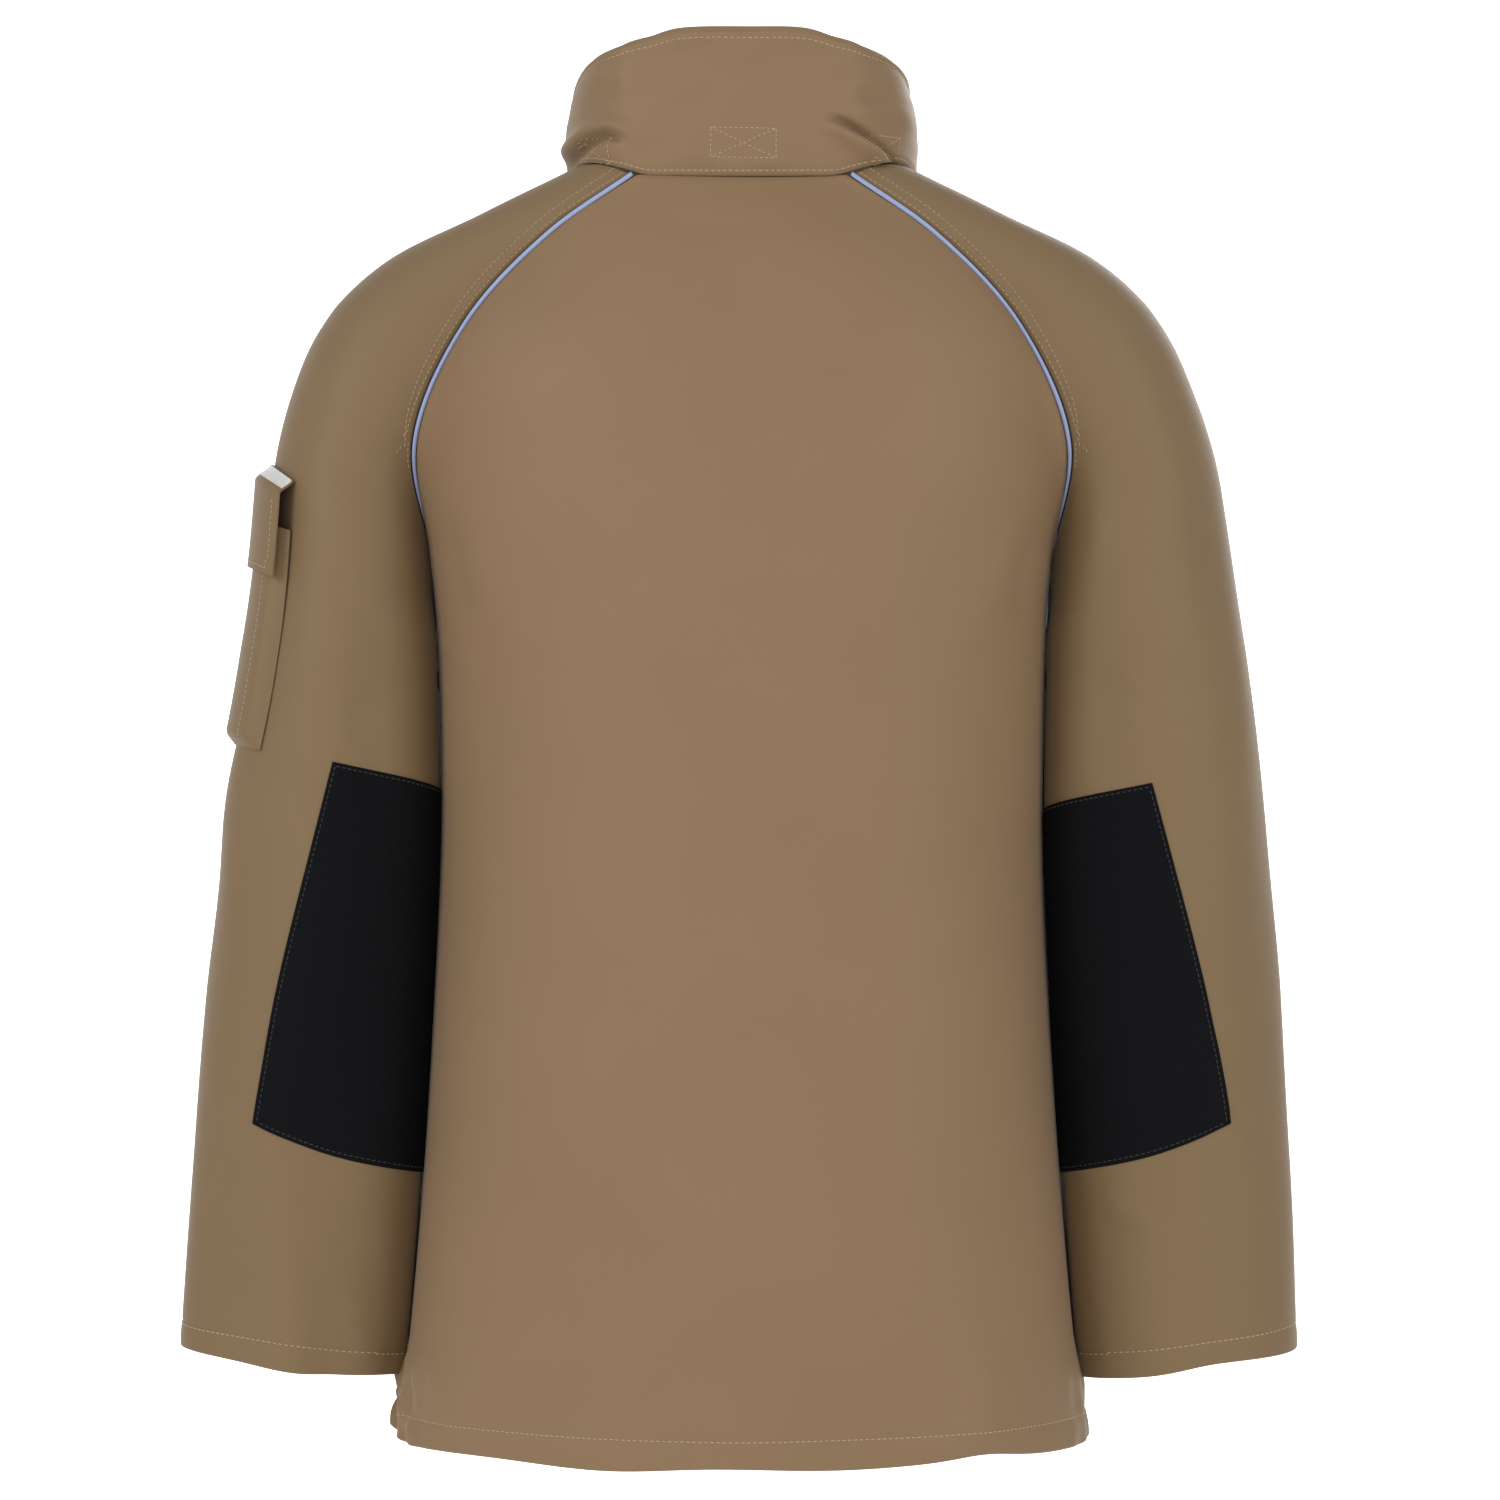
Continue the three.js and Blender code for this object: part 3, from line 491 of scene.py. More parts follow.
def sheet_object(name: str, cloth: Cloth, thick: float, outside: Material,
                 inside: Optional[Material] = None) -> Piece:
    """Gives a piece of cloth its thickness, inwards, and makes it an object.

    Args:
        name: the piece's name.
        cloth: the outer face, with its faces turned outward.
        thick: millimetres.
        outside: finish of the outer face and the edges.
        inside: finish of the inner face.

    Returns:
        The object.
    """
    count = len(cloth.points)
    inner = cloth.points - cloth.normals() * thick
    sides = np.concatenate([cloth.faces[:, [k, (k + 1) % 4]] for k in range(4)])
    _, first, uses = np.unique(np.sort(sides, 1), axis=0, return_index=True, return_counts=True)
    open_edges = sides[first[uses == 1]]
    rims = np.stack([open_edges[:, 1], open_edges[:, 0], open_edges[:, 0] + count,
                     open_edges[:, 1] + count], -1)
    faces = np.vstack([cloth.faces, cloth.faces[:, ::-1] + count, rims])
    kinds = np.zeros(len(faces), int)
    kinds[len(cloth.faces) : 2 * len(cloth.faces)] = 1
    whole = Cloth(np.vstack([cloth.points, inner]), faces, np.vstack([cloth.weave, cloth.weave]))
    sharp = np.vstack([open_edges, open_edges + count])
    return make_object(name, whole, [outside, inside or outside], kinds, sharp)


def surface_of(piece: Piece) -> BVHTree:
    """A search tree over a piece's faces, for laying stitches on it."""
    mesh = piece.data
    return BVHTree.FromPolygons([v.co for v in mesh.vertices], [p.vertices for p in mesh.polygons])


def tube(points: Array, ups: Array, radius: Array, sides: int = 10) -> Cloth:
    """A closed round bead along a path.

    Args:
        points: its middle line in millimetres.
        ups: the direction its top faces at each point.
        radius: its radius at each point.
        sides: how many sides it has.

    Returns:
        The bead, with weave 0 to 1 round it from its top and metres along it.
    """
    along = unit(np.gradient(points, axis=0))
    aside = unit(np.cross(along, ups))
    ups = np.cross(aside, along)
    turn = np.linspace(0, 2 * math.pi, sides, endpoint=False)
    ring = np.cos(turn)[None, :, None] * ups[:, None] + np.sin(turn)[None, :, None] * aside[:, None]
    grid = points[:, None] + ring * np.asarray(radius)[:, None, None]
    cloth = Cloth.grid(grid, wrap=True)
    share = np.abs(turn / math.pi - 1)
    run = lengths(points, 0) * 0.001
    cloth.weave = np.stack(np.broadcast_arrays(share[None, :], run[:, None]), -1).reshape(-1, 2)
    ends = [points[0], points[-1]]
    count = len(cloth.points)
    last = count - sides
    fans = []
    for k in range(0, sides, 2):
        a, b, c = k, (k + 1) % sides, (k + 2) % sides
        fans.append([count, a, b, c])
        fans.append([count + 1, last + c, last + b, last + a])
    return cloth.with_points(np.array(ends), np.array(fans), np.zeros((2, 2))).facing(
        np.vstack([ring.reshape(-1, 3), np.zeros((2, 3))]))


# ---- Stitching ----
@dataclass(frozen=True)
class Thread:
    """A sewing thread: its thickness and its stitches, in millimetres."""

    radius: float = 0.34
    stitch: float = 2.7
    pitch: float = 3.6

    def sewn(self, lines: Sequence[Array], cloth: BVHTree, axis: tuple[float, float, float]) -> Cloth:
        """Rows of stitches laid on a piece.

        Args:
            lines: paths in millimetres, near the piece's surface.
            cloth: the surface they are sewn to.
            axis: X and Y of a line inside the piece, and how far below the stitch to look out from.

        Returns:
            All the stitches together.
        """
        middles, along, ups = [], [], []
        for line in lines:
            run = lengths(np.asarray(line, float), 0)
            for s in np.arange(self.pitch / 2, run[-1], self.pitch):
                ends = [np.array([np.interp(s + d, run, line[:, k]) for k in range(3)])
                        for d in (-0.6, 0, 0.6)]
                out = unit(ends[1] - np.array([axis[0], axis[1], ends[1][2] - axis[2]]))
                place = Vector(metres(ends[1]))
                spot, normal, _, _ = cloth.ray_cast(Vector(metres(ends[1] + out * 22)), Vector(-out), 0.04)
                if spot is None or (spot - place).length > 0.006 or normal.dot(Vector(out)) < 0:
                    spot, normal, _, _ = cloth.find_nearest(place)
                    for _ in range(4):
                        if normal.dot(Vector(out)) > 0:
                            break
                        spot, normal, _, _ = cloth.find_nearest(spot - normal * 0.003)
                middles.append(np.array(spot) * 1000 + [0, 0, NECK_HEIGHT])
                along.append(ends[2] - ends[0])
                ups.append(np.array(normal))
        middle, up = np.array(middles), unit(np.array(ups))
        forward = np.array(along)
        forward = unit(forward - (forward * up).sum(-1, keepdims=True) * up)
        aside = np.cross(up, forward)
        ring = np.array([(1, 0), (0, 1), (-1, 0), (0, -1)]) * self.radius
        template = []
        for place, size, sink in ((-1, 0.4, -0.6), (-0.55, 1, 0.25), (0.55, 1, 0.25), (1, 0.4, -0.6)):
            template += [(place * self.stitch / 2, a * size, b * size + sink * self.radius)
                         for a, b in ring]
        shape = np.array(template)
        points = (middle[:, None] + shape[None, :, 0:1] * forward[:, None]
                  + shape[None, :, 1:2] * aside[:, None]
                  + shape[None, :, 2:3] * up[:, None])
        face = [[4 * r + k, 4 * r + (k + 1) % 4, 4 * r + 4 + (k + 1) % 4, 4 * r + 4 + k]
                for r in range(3) for k in range(4)]
        face += [[3, 2, 1, 0], [12, 13, 14, 15]]
        faces = (np.array(face)[None] + 16 * np.arange(len(middle))[:, None, None]).reshape(-1, 4)
        weave = np.tile(shape[:, :2] * 0.001, (len(middle), 1))
        return Cloth(points.reshape(-1, 3), faces, weave)


# ---- Shader nodes ----
class Wire:
    """A node's output in an expression: maths on it adds Math nodes."""

    def __init__(self, paint: "Paint", socket: "bpy.types.NodeSocket") -> None:
        """Keeps the output and the material it belongs to."""
        self.paint, self.socket = paint, socket

    def _math(self, operation: str, first: Any, second: Any = None) -> "Wire":
        """One Math node on one or two values."""
        values = {0: first} if second is None else {0: first, 1: second}
        return self.paint.node("ShaderNodeMath", {"operation": operation}, values)

    def __add__(self, other: Any) -> "Wire":
        """This plus other."""
        return self._math("ADD", self, other)

    def __radd__(self, other: Any) -> "Wire":
        """Other plus this."""
        return self._math("ADD", other, self)

    def __sub__(self, other: Any) -> "Wire":
        """This less other."""
        return self._math("SUBTRACT", self, other)

    def __rsub__(self, other: Any) -> "Wire":
        """Other less this."""
        return self._math("SUBTRACT", other, self)

    def __mul__(self, other: Any) -> "Wire":
        """This times other."""
        return self._math("MULTIPLY", self, other)

    def __rmul__(self, other: Any) -> "Wire":
        """Other times this."""
        return self._math("MULTIPLY", other, self)

    def __truediv__(self, other: Any) -> "Wire":
        """This divided by other."""
        return self._math("DIVIDE", self, other)

    def __pow__(self, other: Any) -> "Wire":
        """This to the power of other."""
        return self._math("POWER", self, other)

    def sine(self) -> "Wire":
        """Its sine."""
        return self._math("SINE", self)

    def absolute(self) -> "Wire":
        """Its size without its sign."""
        return self._math("ABSOLUTE", self)

    def fraction(self) -> "Wire":
        """Its fractional part."""
        return self._math("FRACT", self)


class Paint:
    """One procedural material while it is made."""

    def __init__(self, name: str) -> None:
        """Starts an empty material with one Principled shader.

        Args:
            name: the finish's name.
        """
        self.material = bpy.data.materials.new(name)
        self.material.use_nodes = True
        self.tree = self.material.node_tree
        self.tree.nodes.clear()
        self.shader = self.tree.nodes.new("ShaderNodeBsdfPrincipled")
        out = self.tree.nodes.new("ShaderNodeOutputMaterial")
        self.tree.links.new(self.shader.outputs[0], out.inputs[0])

    def put(self, socket: "bpy.types.NodeSocket", value: Any) -> None:
        """Links a wire to an input, or sets the input's own value."""
        if isinstance(value, Wire):
            self.tree.links.new(value.socket, socket)
        else:
            socket.default_value = value

    def node(self, kind: str, settings: Optional[dict] = None, values: Optional[dict] = None,
             output: Any = 0) -> Wire:
        """Adds any node.

        Args:
            kind: the node's type.
            settings: its own settings, set first; stops is a ramp's list of (place, colour).
            values: values or wires for its inputs, by name or number.
            output: which output to use.

        Returns:
            A wire from that output.
        """
        made = self.tree.nodes.new(kind)
        for key, value in (settings or {}).items():
            if key == "stops":
                for i, (place, colour) in enumerate(value):
                    stop = made.color_ramp.elements[i] if i < 2 else made.color_ramp.elements.new(place)
                    stop.position, stop.color = place, colour
            else:
                setattr(made, key, value)
        for key, value in (values or {}).items():
            self.put(made.inputs[key], value)
        return Wire(self, made.outputs[output])

    def weave(self) -> tuple[Wire, Wire, Wire]:
        """The weave coordinates in metres: the vector, its across and its down."""
        vector = self.node("ShaderNodeTexCoord", output="UV")
        parts = self.node("ShaderNodeSeparateXYZ", values={0: vector})
        return vector, parts, Wire(self, parts.socket.node.outputs[1])

    def noise(self, vector: Wire, scale: float, detail: float = 3.0) -> Wire:
        """A noise from 0 to 1 over a vector."""
        return self.node("ShaderNodeTexNoise", None, {"Vector": vector, "Scale": scale, "Detail": detail},
                         "Fac")

    def blend(self, mask: Any, first: Any, second: Any) -> Wire:
        """A colour between two, by a mask."""
        return self.node("ShaderNodeMix", {"data_type": "RGBA"}, {0: mask, 6: first, 7: second}, 2)

    def relief(self, height: Wire, depth: float, strength: float = 1.0) -> Wire:
        """A bumped normal from a height of 0 to 1 and its depth in metres."""
        return self.node("ShaderNodeBump", None,
                         {"Height": height, "Distance": depth, "Strength": strength})

    def finish(self, **inputs: Any) -> Material:
        """Sets the shader's inputs, named with _ for a space.

        Returns:
            The finished material.
        """
        for key, value in inputs.items():
            self.put(self.shader.inputs[key.replace("_", " ")], value)
        return self.material


def colour(red: float, green: float, blue: float) -> tuple[float, float, float, float]:
    """A colour of 0 to 255 in sRGB as the shader's linear values."""
    linear = [((c / 255 + 0.055) / 1.055) ** 2.4 if c > 10 else c / 255 / 12.92 for c in (red, green, blue)]
    return (linear[0], linear[1], linear[2], 1.0)


class Weave(Enum):
    """How a cloth's threads lie."""

    TWILL = "twill"
    PLAIN = "plain"
    BASKET = "basket"
    RIB = "rib"
    PILE = "pile"


@dataclass(frozen=True)
class Fabric:
    """A woven finish: its colour, the tint it wanders to, and its threads."""

    name: str
    tint: tuple[float, float, float]
    shade: tuple[float, float, float]
    weave: Weave = Weave.TWILL
    pitch: float = 0.9  # millimetres from thread to thread
    depth: float = 0.05  # millimetres
    roughness: float = 0.6
    sheen: float = 0.1
    specular: float = 0.3

    def threads(self, paint: Paint, across: Wire, down: Wire) -> Wire:
        """The height of the threads, from 0 to 1.

        Args:
            paint: the material.
            across: metres across the cloth.
            down: metres down the cloth.

        Returns:
            A wire with the height.
        """
        count = 1000 / self.pitch
        round_count = 2 * math.pi * count
        if self.weave is Weave.TWILL:
            return ((across * count + down * (count * 0.62)).fraction() * 2 - 1).absolute()
        if self.weave is Weave.RIB:
            return (across * round_count).sine() * 0.5 + 0.5
        if self.weave is Weave.PILE:
            vector = paint.node("ShaderNodeCombineXYZ", None, {0: across, 1: down})
            return paint.noise(vector, count, 4.0)
        waves = (across * round_count).sine() * (down * round_count).sine()
        if self.weave is Weave.BASKET:
            ribs = (across * round_count).sine().absolute() ** 0.5
            return ribs * ((down * round_count).sine().absolute() ** 0.5)
        return waves * 0.5 + 0.5

    def make(self) -> Material:
        """The material."""
        paint = Paint(self.name)
        vector, across, down = paint.weave()
        height = self.threads(paint, across, down)
        cloudy = paint.noise(vector, 9.0, 2.0)
        fibre = paint.noise(vector, 700.0, 3.0)
        worn = paint.blend(cloudy * 0.8 + fibre * 0.2, colour(*self.tint), colour(*self.shade))
        # Painted shade: the cloth's colour darkens in the weave's hollows, where the threads dip.
        dark = colour(*(0.82 * c for c in self.shade))
        base = paint.blend((1 - height) * 0.35, worn, dark)
        bumped = paint.relief(height * 0.75 + fibre * 0.25, self.depth * 0.001, 0.7)
        rough = self.roughness + (fibre - 0.5) * 0.12 + (1 - height) * 0.04
        return paint.finish(Base_Color=base, Roughness=rough, Normal=bumped, Sheen_Weight=self.sheen,
                            Sheen_Roughness=0.45, Specular_IOR_Level=self.specular)


@dataclass(frozen=True)
class PipingFinish:
    """Corded piping: pale along its crown and dark navy down each side, partly a navy edge and partly painted
    seam shadow.
    """

    name: str = "piping_cloth"

    def make(self) -> Material:
        """The material."""
        paint = Paint(self.name)
        vector, round_it, along = paint.weave()
        # Painted seam shadow, partly a navy edge: this mask turns the tube dark navy away from its crown.
        side = paint.node("ShaderNodeMapRange", {"interpolation_type": "SMOOTHSTEP"},
                          {"Value": 1 - round_it, "From Min": 0.30, "From Max": 0.42})
        rib = (along * 6283 * 0.8).sine() * 0.5 + 0.5
        fibre = paint.noise(vector, 400.0)
        pale = paint.blend(fibre, colour(172, 184, 218), colour(140, 156, 200))
        base = paint.blend(side, pale, colour(30, 34, 56))
        return paint.finish(Base_Color=base, Roughness=0.45 + rib * 0.12,
                            Normal=paint.relief(rib, 0.00012, 0.6),
                            Specular_IOR_Level=0.45, Sheen_Weight=0.1)


@dataclass(frozen=True)
class ThreadFinish:
    """Twisted sewing thread in one colour."""

    name: str
    tint: tuple[float, float, float]

    def make(self) -> Material:
        """The material."""
        paint = Paint(self.name)
        _, along, aside = paint.weave()
        twist = ((along * 900 + aside * 1500) * 2 * math.pi).sine() * 0.5 + 0.5
        base = paint.blend(twist * 0.35, colour(*self.tint), colour(*(0.75 * c for c in self.tint)))
        return paint.finish(Base_Color=base, Roughness=0.55 + twist * 0.1,
                            Normal=paint.relief(twist, 0.00006),
                            Sheen_Weight=0.15)


@dataclass(frozen=True)
class MetalFinish:
    """Dull plated zip metal, rubbed brighter in places."""

    name: str = "zip_metal"
    tint: tuple[float, float, float] = (150, 145, 132)

    def make(self) -> Material:
        """The material."""
        paint = Paint(self.name)
        place = paint.node("ShaderNodeTexCoord", output="Object")
        rubbed, fine = paint.noise(place, 180.0), paint.noise(place, 1600.0)
        base = paint.blend(rubbed, colour(*self.tint), colour(*(0.72 * c for c in self.tint)))
        return paint.finish(Base_Color=base, Roughness=0.28 + rubbed * 0.25,
                            Normal=paint.relief(fine, 0.00002),
                            Metallic=1.0)


@dataclass(frozen=True)
class ReflectiveFinish:
    """Pale reflective tape with its fine honeycomb of beads."""

    name: str = "reflective_tape"

    def make(self) -> Material:
        """The material."""
        paint = Paint(self.name)
        vector, _, _ = paint.weave()
        cells = paint.node("ShaderNodeTexVoronoi", None, {"Vector": vector, "Scale": 1400.0}, "Distance")
        base = paint.blend(cells, colour(236, 236, 232), colour(196, 197, 198))
        return paint.finish(Base_Color=base, Roughness=0.32 + cells * 0.2,
                            Normal=paint.relief(cells, 0.00008),
                            Specular_IOR_Level=0.7)


class Finishes:
    """Every finish of the jacket, made once."""

    def __init__(self) -> None:
        """Makes the materials."""
        self.body = Fabric("khaki_cloth", (148, 120, 89), (138, 111, 80), roughness=0.56, sheen=0.12).make()
        # The sleeve cloth is a little greener than the body's, which is its own hue, and darker, which is
        # painted shade for the shade the sleeves lie in.
        self.sleeve = Fabric("khaki_sleeve_cloth", (138, 114, 81), (127, 103, 72), roughness=0.56,
                             sheen=0.12).make()
        self.lining = Fabric("lining_cloth", (112, 99, 80), (98, 86, 68), Weave.PLAIN, 0.8, 0.03,
                             0.5).make()
        self.patch = Fabric("patch_cloth", (14, 15, 19), (9, 10, 14), Weave.BASKET, 2.4, 0.12, 0.8, 0.01,
                            0.12).make()
        self.elastic = Fabric("elastic", (48, 45, 42), (36, 34, 32), Weave.RIB, 2.2, 0.3, 0.8).make()
        self.grip = Fabric("grip_tape", (38, 36, 34), (22, 21, 20), Weave.PILE, 1.4, 0.5, 0.95, 0.2).make()
        self.zip_tape = Fabric("zip_tape", (82, 72, 56), (68, 60, 46), Weave.PLAIN, 1.2, 0.08, 0.8).make()
        self.strip = ReflectiveFinish().make()
        self.piping = PipingFinish().make()
        self.metal = MetalFinish().make()
        self.light_thread = ThreadFinish("light_thread", (196, 172, 142)).make()
        self.tonal_thread = ThreadFinish("tonal_thread", (178, 154, 124)).make()
        self.dark_thread = ThreadFinish("dark_thread", (38, 38, 42)).make()


# ---- Sub-assemblies ----
@dataclass
class SeamEdge:
    """How a piece of cloth turns in at a seam, in millimetres from its edge."""

    dip: float = 1.9
    dip_width: float = 1.9
    swell: float = 0.5
    rows: tuple[float, ...] = ()

    def lift(self, distance: Array) -> Array:
        """The cloth's rise at a distance from its edge."""
        total = -self.dip * np.exp(-((distance / self.dip_width) ** 2))
        total = total + self.swell * np.exp(-(((distance - 6) / 3.4) ** 2))
        for row in self.rows:
            total = total - 0.42 * np.exp(-(((distance - row) / 1.0) ** 2))
        return total


@dataclass
class Assembly:
    """What every sub-assembly shares: the shape, the finishes and the shoulder's and elbow's places."""

    shape: JacketShape
    finishes: Finishes
    cloth_thick: float = 0.9
    shoulder_start: tuple[float, float, float] = (189.0, 0.0, 537.0)
    shoulder_way: tuple[float, float, float] = (0.85, 0.0, -0.53)
    shoulder_band: float = 64.0
    elbow: tuple[float, float, float] = (261.3, -76.8, 305.0)
    elbow_band: float = 66.0

    def settle(self, points: Array, side: Side) -> Array:
        """The sleeve's outer face, pressed in under the pocket on one side and fuller on the other.

        Args:
            points: on the wearer's left, changed where they are.
            side: the wearer's side.

        Returns:
            The same points.
        """
        x, z = points[..., 0], points[..., 2]
        if side is Side.LEFT:
            move = -7.0 * np.exp(-(((z - 520) / 95) ** 2)) + 4.0 * np.exp(-(((z - 395) / 45) ** 2))
        else:
            move = 6.5 * np.exp(-(((z - 450) / 120) ** 2)) - 1.5 * np.exp(-(((z - 60) / 60) ** 2))
        points[..., 0] = x + move * smooth(x, 232, 300)
        return points

    def bend_shoulder(self, piece: Piece, side: Side) -> Piece:
        """Bakes the piece's placement into its mesh; the shoulder's two points are worked out and not used.
        """
        start = np.array(self.shoulder_start)
        end = start + self.shoulder_band * unit(np.array(self.shoulder_way))
        a, b = (metres(mirrored(p, side)) for p in (start, end))
        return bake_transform(piece, "torso", f"upper_arm_{side.label}", start=tuple(a), end=tuple(b))

    def bend_elbow(self, piece: Piece, side: Side) -> Piece:
        """Bakes the piece's placement into its mesh; the elbow's two points are worked out and not used."""
        middle = np.array(self.elbow)
        drop = np.array([0, 0, self.elbow_band])
        a, b = (metres(mirrored(p, side)) for p in (middle + drop, middle - drop))
        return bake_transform(piece, f"upper_arm_{side.label}", f"forearm_{side.label}", start=tuple(a),
                        end=tuple(b))

    def stitches(self, name: str, lines: Sequence[Array], cloth: Piece,
                 finish: Material,
                 thread: Thread = Thread(),
                 axis: tuple[float, float, float] = (0.0, 0.0, 0.0)) -> Piece:
        """Sews rows of stitches on a piece.

        Args:
            name: the stitching's name.
            lines: its paths.
            cloth: the piece it is sewn to.
            finish: the thread's finish.
            thread: its size.
            axis: X and Y of a line inside the piece, and how far below each stitch it is seen from.

        Returns:
            The stitching, not yet riding.
        """
        return make_object(name, thread.sewn(lines, surface_of(cloth), axis), [finish])


@dataclass
class Body(Assembly):
    """Back and front panels with their turned hem, seams and hem stitching."""

    hem: float = 17.0
    fold: float = 1.3

    def rows(self) -> tuple[Array, Array, Array]:
        """The panel's rows from the neck down, round the hem fold and up inside.

        Returns:
            v, the height off the face and the drop of each row.
        """
        v = np.concatenate([np.linspace(1, 0.42, 80), np.linspace(0.415, self.shape.row_share(24), 70),
                            np.linspace(self.shape.row_share(23), self.shape.row_share(self.fold), 14)])
        turn = np.linspace(0.2, math.pi, 7)
        up = np.array([4.0, 9.0, self.hem]) + self.fold
        fold_v = np.concatenate([np.full(7, self.shape.row_share(self.fold)),
                                 [self.shape.row_share(z) for z in up]])
        lift = np.concatenate([np.zeros(len(v)), -self.fold * (1 - np.cos(turn)),
                               np.full(3, -2 * self.fold)])
        drop = np.concatenate([np.zeros(len(v)), -self.fold * np.sin(turn), np.zeros(3)])
        return np.concatenate([v, fold_v]), lift, drop

    def drape(self, x: Array, z: Array, back: bool) -> Array:
        """Soft folds of a hanging panel."""
        low = smooth(260 - z, 0, 260)
        sway = 1.1 * np.sin(x / 31.0 + 0.8) * low + 0.7 * np.sin(x / 17.0 + z / 150 + 2.0) * low ** 2
        broad = 0.9 * soft_noise(x, z * 0.55, 150, 11 if back else 12)
        upper = 1.2 * soft_noise(x * 0.8, z, 110, 5) * smooth(z, 480, 640) * smooth(770 - z, 0, 40)
        total = sway + broad + upper
        if back:
            folds = [Crease(((186, 575), (172, 540), (166, 500)), 9, -2.2),
                     Crease(((-186, 575), (-172, 535), (-168, 495)), 9, -2.6),
                     Crease(((186, 560), (150, 520), (120, 470)), 16, 1.6),
                     Crease(((-186, 560), (-150, 520), (-128, 470)), 16, 1.8),
                     Crease(((-60, 742), (0, 738), (60, 742)), 10, -1.0),
                     Crease(((196, 60), (178, 34), (170, 8)), 8, 2.0),
                     Crease(((-150, 70), (-146, 30), (-147, -4)), 14, 1.8)]
            total = total + creased(folds, x, z)
        return total

    def eased(self, base: Array, v: Array, u: Array) -> Array:
        """The panel with the change of its bow at the armpit drawn out up and down it."""
        hold = (1 - np.abs(u) ** 8) * smooth(v, 0.24, 0.36) * smooth(0.72 - v, 0, 0.16)
        for _ in range(240):
            mean = base.copy()
            mean[1:-1] = (base[:-2] + base[2:]) / 2
            base = base + (mean - base) * (0.8 * hold)[..., None]
        return base

    def gather(self, points: Array, normals: Array, x_edge: Array) -> Array:
        """The hem drawn up at the side seams by its elastic."""
        z = points[..., 2]
        near = np.exp(-((np.abs(x_edge) / 46.0) ** 2))
        low = smooth(66 - z, 0, 30)
        left = np.where(points[..., 0] > 0, 1.0, 0.3)
        ripple = np.sin(x_edge / 3.4 + 0.7 * np.sin(z / 6)) * 2.9 + np.sin(z / 5.2 + x_edge / 7) * 1.9
        moved = points + normals * (ripple * near * low * left)[..., None]
        moved[..., 0] += np.sign(points[..., 0]) * 3.0 * near * low
        moved[..., 2] += 8.0 * np.exp(-((np.abs(x_edge) / 20.0) ** 2)) * low * left
        return moved

    def panel(self, where: str, side: Optional[Side]) -> Cloth:
        """One body panel as cloth, with its seams turned in.

        Args:
            where: back or front.
            side: the front's side; None for the back.

        Returns:
            The outer face.
        """
        v, lift, drop = self.rows()
        back = where == "back"
        u = crowded(150, 0.75) if back else (crowded(2 * 84, 0.75)[84:])
        if not back:
            u = (u - u[0]) / (u[-1] - u[0])
        vv, uu = np.broadcast_arrays(v[:, None], u[None, :])
        base = self.shape.panel(where, np.abs(uu), vv)
        base[..., 0] *= np.sign(uu) if back else 1
        if not back:
            base = mirrored(base, side)
        base = self.eased(base, vv, uu)
        outward = base * [1, 1, 0]
        normals = grid_normals(base, outward)
        normals[-10:] = normals[-11]
        run = lengths(base, 1)
        to_edge = np.minimum(run, run[:, -1:] - run) if back else run[:, -1:] - run
        near_seam = smooth(vv, 0.385, 0.42)
        edge = SeamEdge(dip=2.2, dip_width=2.0, swell=0.35).lift(to_edge) * near_seam
        edge = edge - 0.7 * np.exp(-((to_edge / 2.4) ** 2)) * (1 - near_seam)
        neck = -1.2 * np.exp(-((lengths(base, 0) / 2.0) ** 2))
        x, z = base[..., 0], base[..., 2]
        fade = np.clip(to_edge / 14, 0, 1)
        rise = self.drape(x, z, back) * fade + edge + neck
        stitch = -0.45 * np.exp(-(((z - self.hem) / 1.3) ** 2)) + 0.35 * np.exp(-(((z - 8) / 6) ** 2))
        rise = rise + stitch * (lift > -0.1)[:, None]
        wave = 1.0 * np.sin(x / 24 + 1) + (2.6 * np.exp(-(((x + 147) / 22) ** 2))
                                           - 1.1 * np.exp(-(((x - 70) / 40) ** 2)) if back else 0)
        points = base + normals * (rise + lift[:, None])[..., None]
        points[..., 2] += drop[:, None] + wave * smooth(60 - z, 0, 60)
        arc = to_edge * (1 if back else -1)
        points = self.gather(points, normals, arc)
        if not back:
            points += normals * (-0.8 * np.exp(-((run / 3.0) ** 2)))[..., None]
        cloth = Cloth.grid(points)
        return cloth.facing(normals.reshape(-1, 3))

    def hem_line(self, where: str, side: Optional[Side]) -> Array:
        """The path of the hem stitching on a panel."""
        u = np.linspace(-0.985, 0.985, 400) if where == "back" else np.linspace(0.02, 0.985, 220)
        line = self.shape.panel(where, np.abs(u), np.full_like(u, self.shape.row_share(self.hem)))
        if where == "back":
            line[:, 0] *= np.sign(u)
            return line
        return mirrored(line, side)

    def build(self) -> dict[str, Piece]:
        """Makes the panels and their hem stitching.

        Returns:
            The panels by name.
        """
        made = {}
        back = sheet_object("back_cloth", self.panel("back", None), self.cloth_thick, self.finishes.body,
                            self.finishes.lining)
        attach(back, "torso")
        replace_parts(back, "back_panel", "hem_facing", "hem_elastic_left", "hem_elastic_right")
        made["back"] = back
        seams = [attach(self.stitches("back_hem_stitches", [self.hem_line("back", None)], back,
                                       self.finishes.light_thread), "torso")]
        for side in Side:
            front = sheet_object(f"front_cloth_{side.label}", self.panel("front", side), self.cloth_thick,
                                 self.finishes.body,
                                 self.finishes.lining)
            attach(front, "torso")
            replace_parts(front, f"front_panel_{side.label}")
            made[f"front_{side.label}"] = front
            edge = self.shape.panel("front", np.zeros(260),
                                    np.linspace(self.shape.row_share(20), 0.99, 260)) + [7, 0, 0]
            lines = [self.hem_line("front", side), mirrored(edge, side)]
            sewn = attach(self.stitches(f"front_stitches_{side.label}", lines, front,
                                         self.finishes.light_thread), "torso")
        return made


